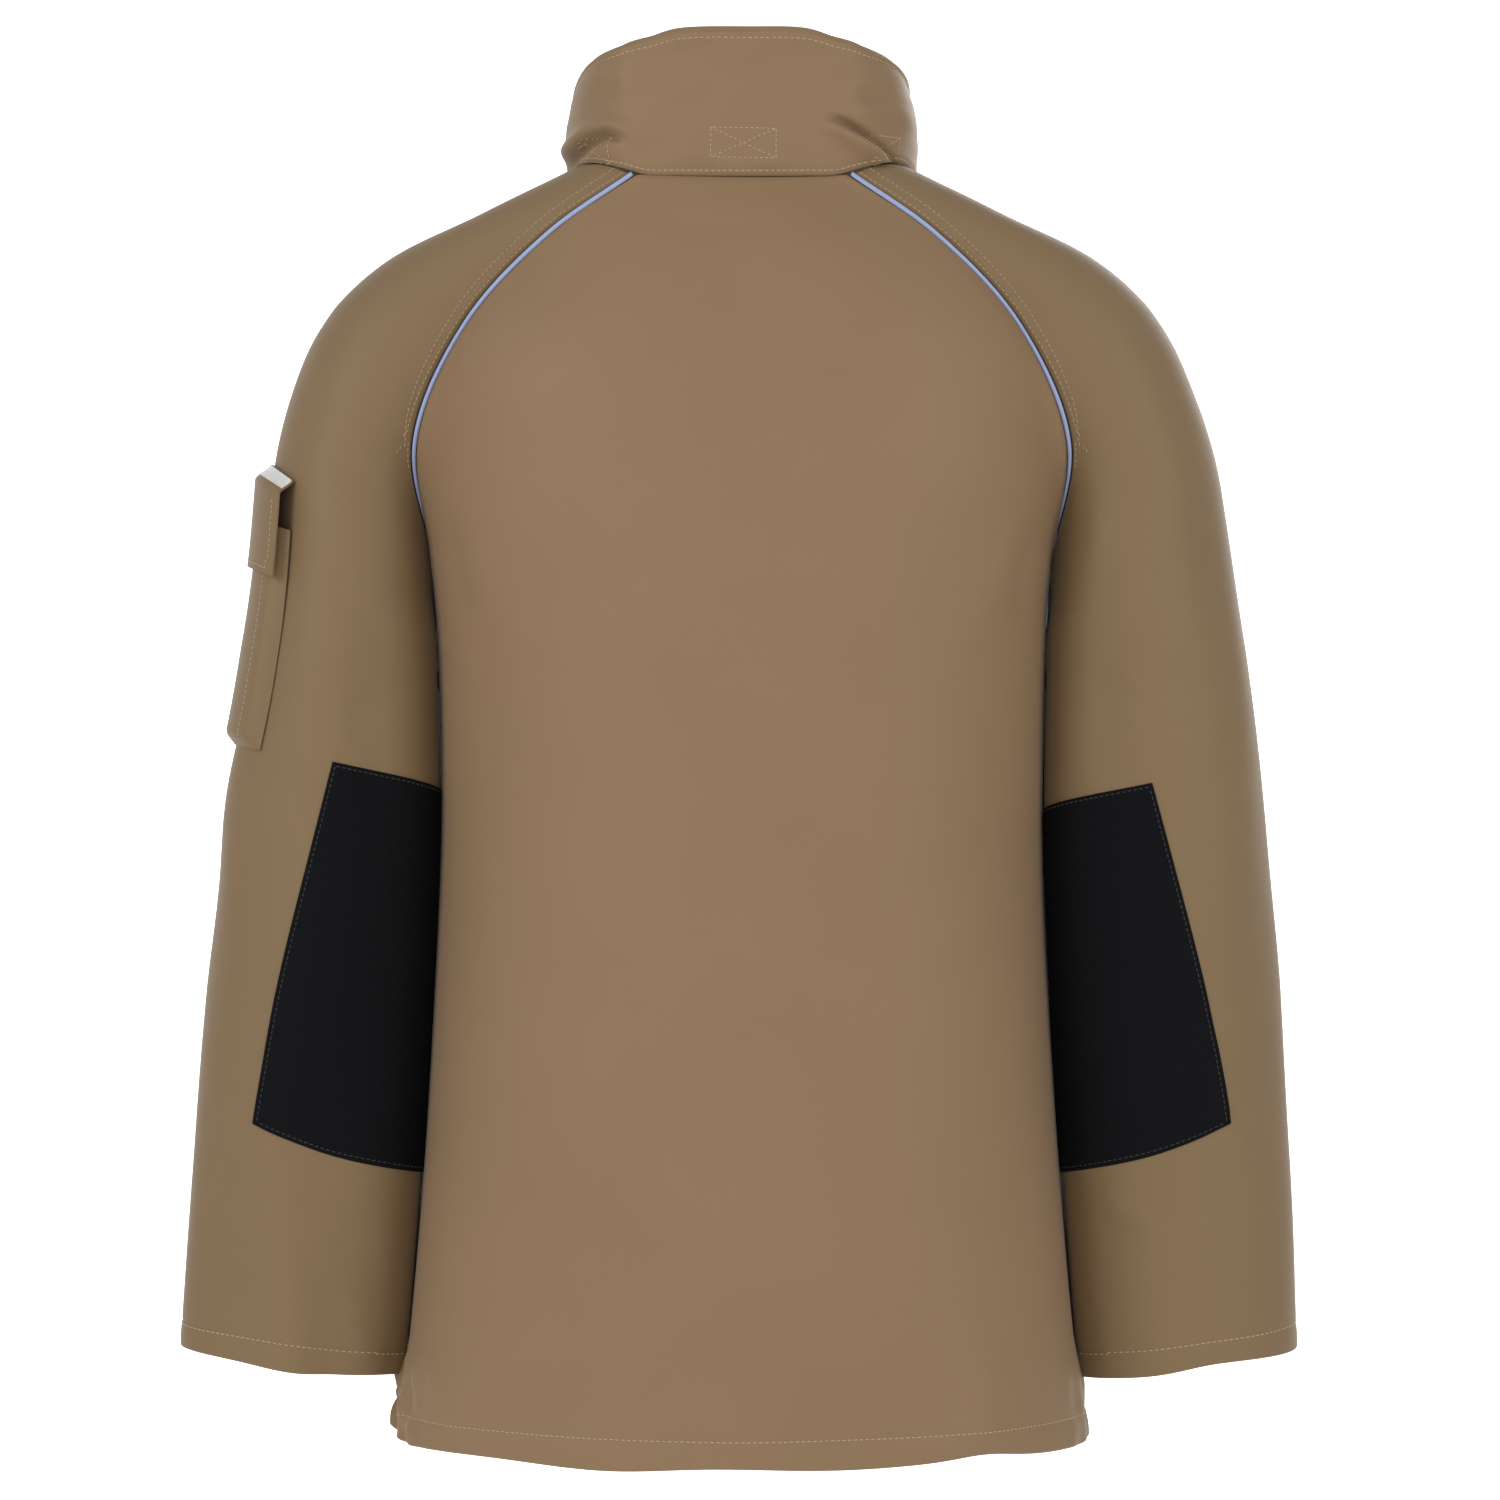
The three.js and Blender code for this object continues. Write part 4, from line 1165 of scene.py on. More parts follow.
@dataclass
class Sleeve(Assembly):
    """One raglan sleeve from collar to cuff, with its topstitching, piping, elbow patch and wrist cuff."""

    side: Side = Side.LEFT
    split: float = 0.335  # share of the sleeve where the upper cloth meets the lower
    cuff: float = 16.0
    fold: float = 1.3
    columns: int = 112
    gusset: int = 9
    patch_outer: tuple[tuple[float, float], tuple[float, float]] = ((0.262, 0.302), (0.182, 0.738))
    patch_inner: tuple[tuple[float, float], tuple[float, float]] = ((0.47, 0.322), (0.5, 0.78))

    def turns(self) -> Array:
        """Places round the sleeve, in turns: the raglan columns and then the gusset's."""
        main = crowded(self.columns, 0.35) * 170 / 360
        closing = np.linspace(170, 190, self.gusset + 2)[1:-1] / 360
        return np.concatenate([main, closing])

    def lean_on_body(self, points: Array) -> Array:
        """Points of the sleeve, with the side that faces the body laid along it.

        Args:
            points: on the wearer's left.

        Returns:
            The moved points.
        """
        x, y, z = points[..., 0], points[..., 1], points[..., 2]
        deep = np.where(y > 0, self.shape.depth - 8 * z / self.shape.side_top,
                        self.shape.depth - self.shape.lean * z)
        low = self.shape.hem_half - self.shape.waist_half
        half = self.shape.waist_half + low * np.clip(1 - z / self.shape.waist, 0, 1) ** 1.5
        half = half + 3 * smooth(z, self.shape.waist, self.shape.side_top)
        body = half * np.sqrt(np.clip(1 - (y / deep) ** 2, 0, 1))
        clear = x - body
        inner = self.shape.sleeve(np.full(60, 0.5), np.linspace(1, 0, 60))
        least = np.interp(z, inner[:, 2], inner[:, 0] - [self.shape.half_width(h) for h in inner[:, 2]])
        pull = np.clip(least - 1.3, 0, 20) + 0.85 * np.clip(clear - least, 0, 6) * smooth(534 - z, 0, 40)
        pull = pull * (1 - smooth(clear, 12, 75))
        moved = points.copy()
        moved[..., 0] = x - pull * (clear < 90)
        return moved

    def hang(self, points: Array) -> Array:
        """Soft folds of a hanging sleeve at its points."""
        x, y, z = np.abs(points[..., 0]), points[..., 1], points[..., 2]
        along = np.arctan2(y, x - 268) * 66
        broad = 1.4 * soft_noise(along, z * 0.42, 95, 21 + self.side.value) * smooth(660 - z, 0, 160)
        cuff = 1.1 * np.sin(along / 13 + 1.3 * self.side.value) * smooth(190 - z, 0, 150)
        total = broad + cuff
        back = smooth(y, -12, 12)
        if self.side is Side.LEFT:
            folds = [Crease(((203, 592), (199, 575), (193, 556)), 3.6, -3.0),
                     Crease(((208, 590), (206, 560), (202, 520)), 7, 1.4),
                     Crease(((232, 470), (226, 430), (214, 395)), 12, -1.6),
                     Crease(((300, 240), (286, 150), (280, 70)), 15, 1.6),
                     Crease(((240, 150), (226, 100), (216, 60)), 12, -1.8),
                     Crease(((212, 70), (214, 46), (206, 26)), 6, -2.0)]
        else:
            folds = [Crease(((206, 585), (203, 560), (199, 530)), 5, -2.4),
                     Crease(((214, 580), (212, 540), (206, 500)), 8, 1.4),
                     Crease(((225, 480), (221, 440), (212, 400)), 12, -1.6),
                     Crease(((276, 260), (292, 225), (300, 190)), 11, 1.8),
                     Crease(((214, 160), (236, 140), (262, 128)), 9, 1.5),
                     Crease(((284, 220), (296, 160), (300, 90)), 10, -1.5)]
        return total + creased(folds, x, z) * back

    def body_clearance(self, turn: Array) -> Array:
        """1 on the outer side and less on the side that faces the body."""
        return smooth(np.cos(turn * 2 * math.pi), -0.97, -0.3)

    def upper(self) -> Cloth:
        """The sleeve from the collar down to the split: the shoulder's columns with the gusset below them."""
        turns = self.turns()
        main = turns[: self.columns]
        share = main * 360 / 170
        v_top = np.linspace(0.004, 1, 64)
        v_low = np.linspace(0.0, self.split, 56)[1:]
        vv, uu = np.broadcast_arrays(v_top[:, None], share[None, :])
        top = self.settle(self.shape.shoulder(uu, vv), self.side)
        run = np.clip((vv + 0.04) / 0.72, 0, 1)
        fall = 7.0 * np.exp(-(((uu - 0.12) / 0.42) ** 2)) * np.sin(math.pi * run)
        top[..., 2] -= fall
        vv2, tt = np.broadcast_arrays(v_low[:, None], turns[None, :])
        low = self.settle(self.lean_on_body(self.shape.sleeve(tt, vv2)), self.side)
        armhole = self.shape.sleeve(turns[self.columns :], np.zeros(self.gusset))
        grid = np.full((len(v_top) + len(v_low), len(turns), 3), np.nan)
        grid[: len(v_top), : self.columns] = top
        grid[len(v_top) :] = low
        grid[len(v_top) - 1, self.columns :] = armhole
        rows = np.arange(len(grid))
        near = np.exp(-(((rows - len(v_top) + 1) / 7.0) ** 2))[:, None]
        held = np.where((rows < len(v_top))[:, None], 1 - np.abs(share[None, :]) ** 10, 1.0)
        for _ in range(30):
            part = grid[:, : self.columns]
            mean = part.copy()
            mean[1:-1] = (part[:-2] + part[2:]) / 2
            part += (mean - part) * (near * held * 0.8)[..., None]
        main_normals = grid_normals(grid[:, : self.columns], np.array([1.0, 0, 0.3]))
        gusset_normals = np.broadcast_to([-1.0, 0, 0], (len(grid), self.gusset, 3))
        normals = np.concatenate([main_normals, gusset_normals], 1)
        run = lengths(grid[:, : self.columns], 1)
        to_edge = np.minimum(run, run[:, -1:] - run)
        edge = SeamEdge(rows=(2.6, 8.0)).lift(to_edge) * smooth(len(v_top) - 1 - rows, -1, 6)[:, None]
        neck = -1.2 * np.exp(-((lengths(grid[:, : self.columns], 0) / 2.0) ** 2))
        rise = np.zeros(grid.shape[:2])
        clear = self.body_clearance(turns)[None, :]
        soft = smooth(rows, 20, 60)[:, None] * clear
        rise += np.nan_to_num(self.hang(np.nan_to_num(grid))) * soft
        rise[:, : self.columns] += edge + neck
        grid = grid + normals * rise[..., None]
        return self.stitched_grid(mirrored(grid, self.side), mirrored(normals, self.side), len(v_top) - 1)

    def stitched_grid(self, grid: Array, normals: Array, armhole_row: int) -> Cloth:
        """Cloth from the shoulder's open grid and the closed rings below the armhole row."""
        rows, cols = grid.shape[:2]
        index = np.arange(rows * cols).reshape(rows, cols)
        main = index[:, : self.columns]
        faces = [np.stack([main[:-1, :-1], main[:-1, 1:], main[1:, 1:], main[1:, :-1]], -1).reshape(-1, 4)]
        ring = np.concatenate([index[armhole_row:, self.columns - 1 :], index[armhole_row:, :1]], 1)
        faces.append(np.stack([ring[:-1, :-1], ring[:-1, 1:], ring[1:, 1:], ring[1:, :-1]],
                              -1).reshape(-1, 4))
        filled = np.where(np.isnan(grid), grid[armhole_row], grid)
        run = lengths(filled, 1)
        across = run - run[:, cols // 2 : cols // 2 + 1]
        down = np.broadcast_to(lengths(filled, 0)[:, cols // 2 : cols // 2 + 1], across.shape)
        weave = np.stack([across, down], -1).reshape(-1, 2) * 0.001
        faces = np.vstack(faces)
        used = np.unique(faces)
        remap = np.zeros(rows * cols, int)
        remap[used] = np.arange(len(used))
        cloth = Cloth(grid.reshape(-1, 3)[used], remap[faces], weave[used])
        return cloth.facing(normals.reshape(-1, 3)[used])

    def lower(self) -> Cloth:
        """The sleeve from the split to the cuff, with its hem turned up inside."""
        turns = self.turns()
        v = np.concatenate([np.linspace(self.split, 0.955, 104), np.linspace(0.96, 0.997, 14)])
        fold_turn = np.linspace(0.2, math.pi, 7)
        length = 110 / 0.2
        rise_v = 0.997 - np.array([4.0, 9.0, self.cuff]) / length
        v_all = np.concatenate([v, np.full(7, 0.997), rise_v])
        lift = np.concatenate([np.zeros(len(v)), -self.fold * (1 - np.cos(fold_turn)),
                               np.full(3, -2 * self.fold)])
        drop = np.concatenate([np.zeros(len(v)), -self.fold * np.sin(fold_turn), np.zeros(3)])
        vv, tt = np.broadcast_arrays(v_all[:, None], turns[None, :])
        base = self.settle(self.lean_on_body(self.shape.sleeve(tt, vv)), self.side)
        normals = grid_normals(base, base - self.shape.sleeve_centre.at(vv), wrap=True)
        normals[-10:] = normals[-11]
        rise = self.hang(base) * self.body_clearance(turns)[None, :]
        from_cuff = (1 - vv) * length
        pinch = -0.45 * np.exp(-(((from_cuff - self.cuff) / 1.3) ** 2))
        stitch = pinch + 0.35 * np.exp(-(((from_cuff - 8) / 5) ** 2))
        rise = rise + stitch * (lift > -0.1)[:, None]
        points = base + normals * (rise + lift[:, None])[..., None]
        along = np.arctan2(base[..., 1], base[..., 0] - 280) * 66
        points[..., 2] += drop[:, None] + 1.2 * np.sin(along / 29 + self.side.value) * smooth(vv, 0.9, 1.0)
        points[..., 2] -= (4.0 + 1.4 * smooth(-np.cos(tt * 2 * math.pi), -0.2, 0.6)) * smooth(vv, 0.86, 1.0)
        cloth = Cloth.grid(mirrored(points, self.side), wrap=True)
        return cloth.facing(mirrored(normals, self.side).reshape(-1, 3))

    def seam_line(self, edge: int, offset: float, count: int = 200) -> Array:
        """A line on the shoulder beside one raglan seam.

        Args:
            edge: 1 for the back seam, -1 for the front one.
            offset: millimetres from the seam.
            count: how many points.

        Returns:
            The line, on the sleeve's side.
        """
        v = np.linspace(0.012, 0.87, count)
        u = np.full(count, float(edge))
        on = self.shape.shoulder(u, v)
        inward = self.shape.shoulder(u * 0.98, v) - on
        along = unit(np.gradient(on, axis=0))
        square = unit(inward - (inward * along).sum(-1, keepdims=True) * along)
        return mirrored(on + square * offset, self.side)

    def piping(self, edge: int) -> Piece:
        """The piping in one raglan seam, run on a little way below the armpit."""
        where = "back" if edge > 0 else "front"
        v = np.linspace(0.0, 0.99, 120)
        u = np.full(len(v), float(edge))
        line = self.shape.shoulder(u, v)
        wide = np.stack([self.shape.shoulder(u * k, v) for k in (0.97, 1.0)], 1)
        up = unit(np.cross(wide[:, 1] - wide[:, 0], np.gradient(line, axis=0)))
        up *= np.sign((up * [0.3, edge, 0.3]).sum(-1))[:, None]
        y = 1.0 if edge > 0 else -1.0
        tail = Spline([tuple(line[-1]), (187.6, 17 * y, 524), (187.0, 20 * y, 512),
                       (186.2, 21 * y, 500)]).at(np.linspace(0, 1, 16))[1:]
        tail_up = np.broadcast_to(unit(np.array([0.3, 0.95 * y, 0.0])), tail.shape)
        line, up = np.vstack([line, tail]), np.vstack([up, tail_up])
        for _ in range(12):
            up[1:-1] = unit(up[:-2] + 2 * up[1:-1] + up[2:])
        cloth = tube(mirrored(line + up * 0.2, self.side), mirrored(up, self.side),
                     np.full(len(line), 1.6), 12)
        piece = make_object(f"piping_{where}_cord_{self.side.label}", cloth, [self.finishes.piping])
        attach(piece, "torso")
        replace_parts(piece, f"piping_{where}_{self.side.label}")
        return piece

    def patch_point(self, a: Array, b: Array) -> tuple[Array, Array]:
        """The sleeve's turn and v at a share across and down the patch."""
        drop = 0.026 if self.side is Side.RIGHT else 0.0
        outer = [self.patch_outer[0][i] * (1 - b) + self.patch_outer[1][i] * b for i in (0, 1)]
        inner = [self.patch_inner[0][i] * (1 - b) + self.patch_inner[1][i] * b for i in (0, 1)]
        turn, v = (outer[i] * (1 - a) + inner[i] * a for i in (0, 1))
        bow = 4 * a * (1 - a)
        return turn - 0.006 * 4 * b * (1 - b), v + drop * (1 - b) + bow * (0.012 * b - 0.004 * (1 - b))

    def elbow_patch(self, sleeve_cloth: Piece, upper_cloth: Piece) -> None:
        """The dark patch over the back of the elbow, with its stitching."""
        a, b = (crowded(56, 0.6) + 1) / 2, (crowded(120, 0.6) + 1) / 2
        bb, aa = np.broadcast_arrays(b[:, None], a[None, :])
        turn, v = self.patch_point(aa, bb)
        base = self.lean_on_body(self.shape.sleeve(turn, v))
        normals = grid_normals(base, base - self.shape.sleeve_centre.at(v))
        across, down = lengths(base, 1), lengths(base, 0)
        edge = np.minimum(np.minimum(across, across[:, -1:] - across), np.minimum(down, down[-1:] - down))
        rise = self.hang(base) * self.body_clearance(turn) + 1.5 * smooth(edge, -1.2, 1.6)
        rise = rise - 0.3 * np.exp(-(((edge - 2.4) / 0.9) ** 2))
        points = base + normals * rise[..., None]
        cloth = Cloth.grid(mirrored(points, self.side)).facing(mirrored(normals, self.side).reshape(-1, 3))
        piece = sheet_object(f"elbow_patch_cloth_{self.side.label}", cloth, 1.2, self.finishes.patch)
        ring = []
        for k0, k1 in (((0, 0), (1, 0)), ((1, 0), (1, 1)), ((1, 1), (0, 1)), ((0, 1), (0, 0))):
            t = np.linspace(0, 1, 80)
            aa = k0[0] + (k1[0] - k0[0]) * t
            bb = k0[1] + (k1[1] - k0[1]) * t
            inset_a, inset_b = 0.022, 0.011
            tt, vv = self.patch_point(inset_a + aa * (1 - 2 * inset_a), inset_b + bb * (1 - 2 * inset_b))
            ring.append(mirrored(self.lean_on_body(self.shape.sleeve(tt, vv)), self.side))
        axis = (275.0 * self.side.value, -12.0, 0.0)
        sewn = self.stitches(f"elbow_patch_stitches_{self.side.label}", ring, piece,
                             self.finishes.dark_thread, axis=axis)
        self.bend_elbow(piece, self.side)
        self.bend_elbow(sewn, self.side)
        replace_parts(piece, f"elbow_patch_{self.side.label}")

    def wrist_cuff(self) -> None:
        """The elastic cuff gathered inside the sleeve's mouth."""
        turns = np.linspace(0, 1, 120, endpoint=False)
        v = np.linspace(0.9, 0.966, 22)
        vv, tt = np.broadcast_arrays(v[:, None], turns[None, :])
        base = self.lean_on_body(self.shape.sleeve(tt, vv))
        normals = grid_normals(base, base - self.shape.sleeve_centre.at(vv), wrap=True)
        share = (vv - 0.9) / 0.066
        gather = 0.7 * np.sin(tt * 2 * math.pi * 30) * smooth(share, 0.1, 0.9)
        rise = -3.4 - 24 * smooth(share * 1.1, 0, 1) + gather
        points = mirrored(base + normals * rise[..., None], self.side)
        cloth = Cloth.grid(points, wrap=True).facing(mirrored(normals, self.side).reshape(-1, 3))
        piece = sheet_object(f"wrist_cuff_knit_{self.side.label}", cloth, 1.4, self.finishes.elastic)
        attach(piece, f"forearm_{self.side.label}")
        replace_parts(piece, f"wrist_cuff_{self.side.label}")
        f"lower_sleeve_cloth_{self.side.label}"

    def build(self) -> Piece:
        """Makes the whole sleeve.

        Returns:
            The upper cloth.
        """
        label = self.side.label
        upper = sheet_object(f"upper_sleeve_cloth_{label}", self.upper(), self.cloth_thick,
                             self.finishes.sleeve, self.finishes.lining)
        lower = sheet_object(f"lower_sleeve_cloth_{label}", self.lower(), self.cloth_thick,
                             self.finishes.sleeve, self.finishes.lining)
        lines = [self.seam_line(edge, gap) for edge in (1, -1) for gap in (4.2, 9.8)]
        sewn = self.stitches(f"raglan_stitches_{label}", lines, upper, self.finishes.tonal_thread,
                             Thread(0.34, 2.6, 3.5),
                             (150.0 * self.side.value, 0.0, 40.0))
        turn = np.linspace(0, 1, 300)
        cuff_line = mirrored(self.shape.sleeve(turn, np.full(300, 1 - self.cuff / 550)), self.side)
        cuff_line[:, 2] -= 4.0 + 1.4 * smooth(-np.cos(turn * 2 * math.pi), -0.2, 0.6)
        axis = (284.0 * self.side.value, -18.0, 0.0)
        cuff_sewn = self.stitches(f"cuff_stitches_{label}", [cuff_line], lower, self.finishes.light_thread,
                                  axis=axis)
        for edge in (1, -1):
            self.piping(edge)
        self.elbow_patch(lower, upper)
        self.wrist_cuff()
        for piece in (upper, sewn):
            self.bend_shoulder(piece, self.side)
        for piece in (lower, cuff_sewn):
            self.bend_elbow(piece, self.side)
        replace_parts(upper, f"raglan_shoulder_{label}", f"upper_sleeve_{label}")
        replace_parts(lower, f"lower_sleeve_{label}", f"cuff_facing_{label}")
        return upper


@dataclass
class Collar(Assembly):
    """The padded stand collar with its top-stitching, veil boxes, pads and hanging loop."""

    padding: float = 12.4
    top_padding: float = 6.0
    stitch_row: float = 0.935
    columns: int = 300

    def creases(self) -> list[Crease]:
        """The folds that a soft collar falls into at the back and sides."""
        right = ((-46, 810), (-60, 804), (-73, 797), (-86, 788), (-104, 772))
        left = ((112, 779), (102, 788), (90, 795), (79, 797.5), (66, 792))
        return [Crease(right, 2.6, -8.0), Crease(right, 5.5, 6.4, shift=6.0), Crease(left, 2.6, -7.4),
                Crease(left, 5.5, 5.2, shift=-6.0), Crease(((-104, 800), (-96, 812), (-90, 828)), 8, 2.2),
                Crease(((60, 842), (20, 836), (-20, 838), (-70, 832)), 16, 1.6),
                Crease(((40, 790), (10, 778), (-30, 780)), 6, 1.4),
                Crease(((-104, 822), (-84, 818), (-66, 824)), 5, -2.2),
                Crease(((104, 832), (86, 826), (70, 830)), 6, -2.0)]

    def section(self) -> tuple[Array, Array, Array]:
        """The collar's cross-section: v, the share of its thickness, and its outward swell."""
        up = np.linspace(0.0, 1, 46) ** 0.9
        swell = 3.4 * np.sin(math.pi * np.clip(up / self.stitch_row, 0, 1)) ** 0.7
        swell += 1.0 * np.sin(math.pi * np.clip((up - self.stitch_row) / (1 - self.stitch_row), 0, 1))
        swell -= 0.9 * np.exp(-(((up - 0.035) / 0.02) ** 2))
        roll = np.linspace(0, math.pi, 9)[1:-1]
        down = up[::-1]
        v = np.concatenate([up, 1 + 0.0 * roll, down])
        share = np.concatenate([np.zeros(len(up)), (1 - np.cos(roll)) / 2, np.ones(len(up))])
        lift = np.concatenate([swell, 0 * roll, -0.35 * swell[::-1]])
        return v, share, lift

    def build(self) -> Piece:
        """Makes the collar and everything sewn to it.

        Returns:
            The padded collar.
        """
        u = np.linspace(-0.994, 0.994, self.columns)
        v, share, lift = self.section()
        vv, uu = np.broadcast_arrays(v[:, None], u[None, :])
        base = self.shape.collar(uu, vv)
        flat_v = np.broadcast_to(np.linspace(0, 1, 9)[:, None], (9, self.columns))
        flat = self.shape.collar(np.broadcast_to(u[None, :], flat_v.shape), flat_v)
        normal = grid_normals(flat, flat * [1, 1, 0])[4]
        thin = smooth(0.965 - np.abs(uu), 0.0, 0.09)
        thick = (self.padding + (self.top_padding - self.padding)
                 * smooth(vv, 0.72, 1.0)) * thin + 3.2 * (1 - thin)
        rolled = np.sin(np.clip(share, 0, 1) * math.pi)[:, None] * thick / 2
        outer = (share < 0.5)[:, None]
        a, z = base[..., 0], base[..., 2]
        folds = creased(self.creases(), a, z) * smooth(base[..., 1], -10, 20) * outer
        puff = soft_noise(a * 1.2, z * 1.6, 46, 3) * 0.9 * smooth(vv, 0, 0.2) * outer
        fade = smooth(1 - np.abs(uu), 0.0, 0.08)
        rise = (lift[:, None] * (0.35 + 0.65 * fade) + (folds + puff) * fade) - share[:, None] * thick
        points = base + normal[None] * rise[..., None]
        points[..., 2] += rolled - (vv == 1) * 1.2
        ends = [0, self.columns - 1]
        for end, inner in zip(ends, (1, self.columns - 2)):
            centre = points[:, end].mean(0)
            points[:, end] = centre + (points[:, inner] - points[:, inner].mean(0)) * [0.4, 0.4, 0.985]
        cloth = Cloth.grid(np.swapaxes(points, 0, 1), wrap=True)
        rows = len(v)
        count = self.columns * rows
        caps = []
        for end in ends:
            ring = end * rows + np.arange(rows)
            half = rows // 2
            caps += [[ring[k], ring[k + 1], ring[rows - 2 - k], ring[rows - 1 - k]]
                     for k in range(half - 1)]
        outward = np.swapaxes(normal[None] * np.where(outer, 1.0, -1.0)[..., None], 0, 1).reshape(-1, 3)
        cloth = cloth.facing(outward)
        cloth.faces = np.vstack([cloth.faces, np.array(caps)])
        kind = np.zeros(len(cloth.faces), int)
        section = cloth.faces % rows
        kind[(section.min(1) >= 46 + 5) & (cloth.faces.max(1) < count)] = 1
        piece = make_object("collar_cloth", cloth, [self.finishes.body, self.finishes.lining], kind)
        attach(piece, "torso")
        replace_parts(piece, "collar_outer", "collar_padding", "collar_inner")
        self.sew(piece)
        self.inside()
        return piece

    def on_back(self, path: Pairs, step: float = 1.0) -> Array:
        """A path across and up, brought onto the collar's back face."""
        line = np.array(path, float)
        run = np.concatenate([[0], np.cumsum(np.linalg.norm(np.diff(line, axis=0), axis=1))])
        s = np.arange(0, run[-1] + 1e-6, step)
        x, z = np.interp(s, run, line[:, 0]), np.interp(s, run, line[:, 1])
        u = np.interp(x, *self.across_table())
        base, top = self.shape.collar(u, np.zeros_like(u)), self.shape.collar(u, np.ones_like(u))
        return self.shape.collar(u, (z - base[:, 2]) / (top[:, 2] - base[:, 2]))

    def across_table(self) -> tuple[Array, Array]:
        """X and u along the collar's back, for finding one from the other."""
        u = np.linspace(-0.5, 0.5, 200)
        return self.shape.collar(u, np.full(200, 0.3))[:, 0], u

    def box(self, left: float, right: float, low: float, high: float, skew: float) -> list[Array]:
        """A sewn box with a cross in it."""
        a, b, c, d = (left, low), (left, high), (right, high + skew), (right, low + skew)
        return [self.on_back(p) for p in ((a, b), (b, c), (c, d), (d, a), (a, c), (b, d))]

    def sew(self, piece: Piece) -> None:
        """The collar's rows of stitches and its sewn boxes."""
        u = np.linspace(-0.98, 0.98, 700)
        rows = [self.shape.collar(u, np.full(700, self.stitch_row)),
                self.shape.collar(u, np.full(700, 0.035))]
        edges = [self.shape.collar(np.full(60, s * 0.975), np.linspace(0.05, 0.92, 60)) for s in (-1, 1)]
        boxes = [line for spec in ((-20, 18, 781.5, 799.5, 0.8), (79, 98, 780, 796, 1.5),
                                   (-94, -76, 784, 798, -1.0))
                 for line in self.box(*spec)]
        fine = Thread(0.3, 2.3, 3.1)
        for name, lines, thread in (("collar_stitches", rows + edges, Thread()),
                                    ("collar_box_stitches", boxes, fine)):
            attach(self.stitches(name, lines, piece, self.finishes.light_thread, thread), "torso")

    def inside(self) -> None:
        """The veil's hook-and-loop pads and the hanging loop."""
        for where in ("back", "left", "right"):
            node = bpy.data.objects[f"veil_pad_{where}"]
            node.data.materials.clear()
            node.data.materials.append(self.finishes.grip)
            bevel = node.modifiers.new("softened_edge", "BEVEL")
            bevel.width, bevel.segments = 0.0005, 2
        top = self.shape.collar(np.zeros(1), np.zeros(1))[0]
        turn = np.linspace(0, math.pi, 40)
        middle = np.stack([-20 * np.cos(turn), np.full(40, top[1] - 13.5), top[2] - 1 - 26 * np.sin(turn)],
                          -1)
        wide = np.linspace(-3.5, 3.5, 7)
        grid = middle[:, None] + np.array([0, 1.0, 0])[None, None] * wide[None, :, None]
        outward = np.tile([0, 0, -1.0], (280, 1)) * np.repeat(np.sin(turn) + 0.01, 7)[:, None]
        strap = Cloth.grid(grid).facing(outward)
        loop = sheet_object("hanging_loop_tape", strap, 1.2, self.finishes.lining)
        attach(loop, "torso")
        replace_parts(loop, "hanging_loop")


@dataclass
class Pocket(Assembly):
    """A patch pocket and its flap on one of the jacket's faces."""

    depth: float = 9.2
    under: float = 11.2

    def face(self, side: Side, u: Array, v: Array) -> Array:
        """The cloth face that the pocket is sewn to."""
        return mirrored(self.shape.panel("front", u, v), side)

    def outward(self, points: Array) -> Array:
        """Which way the face looks."""
        return points * [1, 1, 0]

    def lay(self, side: Side, u: Array, v: Array, height: Array) -> tuple[Array, Array]:
        """Points at a height over the face, and their normals."""
        base = self.face(side, u, v)
        normals = grid_normals(base, self.outward(base))
        return base + normals * height[..., None], normals

    def patch(self, name: str, side: Side, across: Callable[[Array, Array], Array], v_top: float,
              v_low: float,
              height: Callable[[Array, Array], Array], thick: float = 1.2) -> Piece:
        """A sheet laid over the face at a height that varies across and down it.

        Args:
            name: the piece's name.
            side: the wearer's side.
            across: the face's u from a share of -1 to 1 and v.
            v_top: the face's v at the top.
            v_low: the face's v at the bottom.
            height: millimetres over the face from the shares across and down.
            thick: the sheet's thickness.

        Returns:
            The object.
        """
        s, t = crowded(60, 0.8), (crowded(50, 0.7) + 1) / 2
        tt, ss = np.broadcast_arrays(t[:, None], s[None, :])
        v = v_top + (v_low - v_top) * tt
        points, normals = self.lay(side, across(ss, v), v, height(ss, tt))
        cloth = Cloth.grid(points).facing(normals.reshape(-1, 3))
        finish = self.finishes.body if isinstance(self, HipPocket) else self.finishes.sleeve
        return sheet_object(name, cloth, thick, finish)


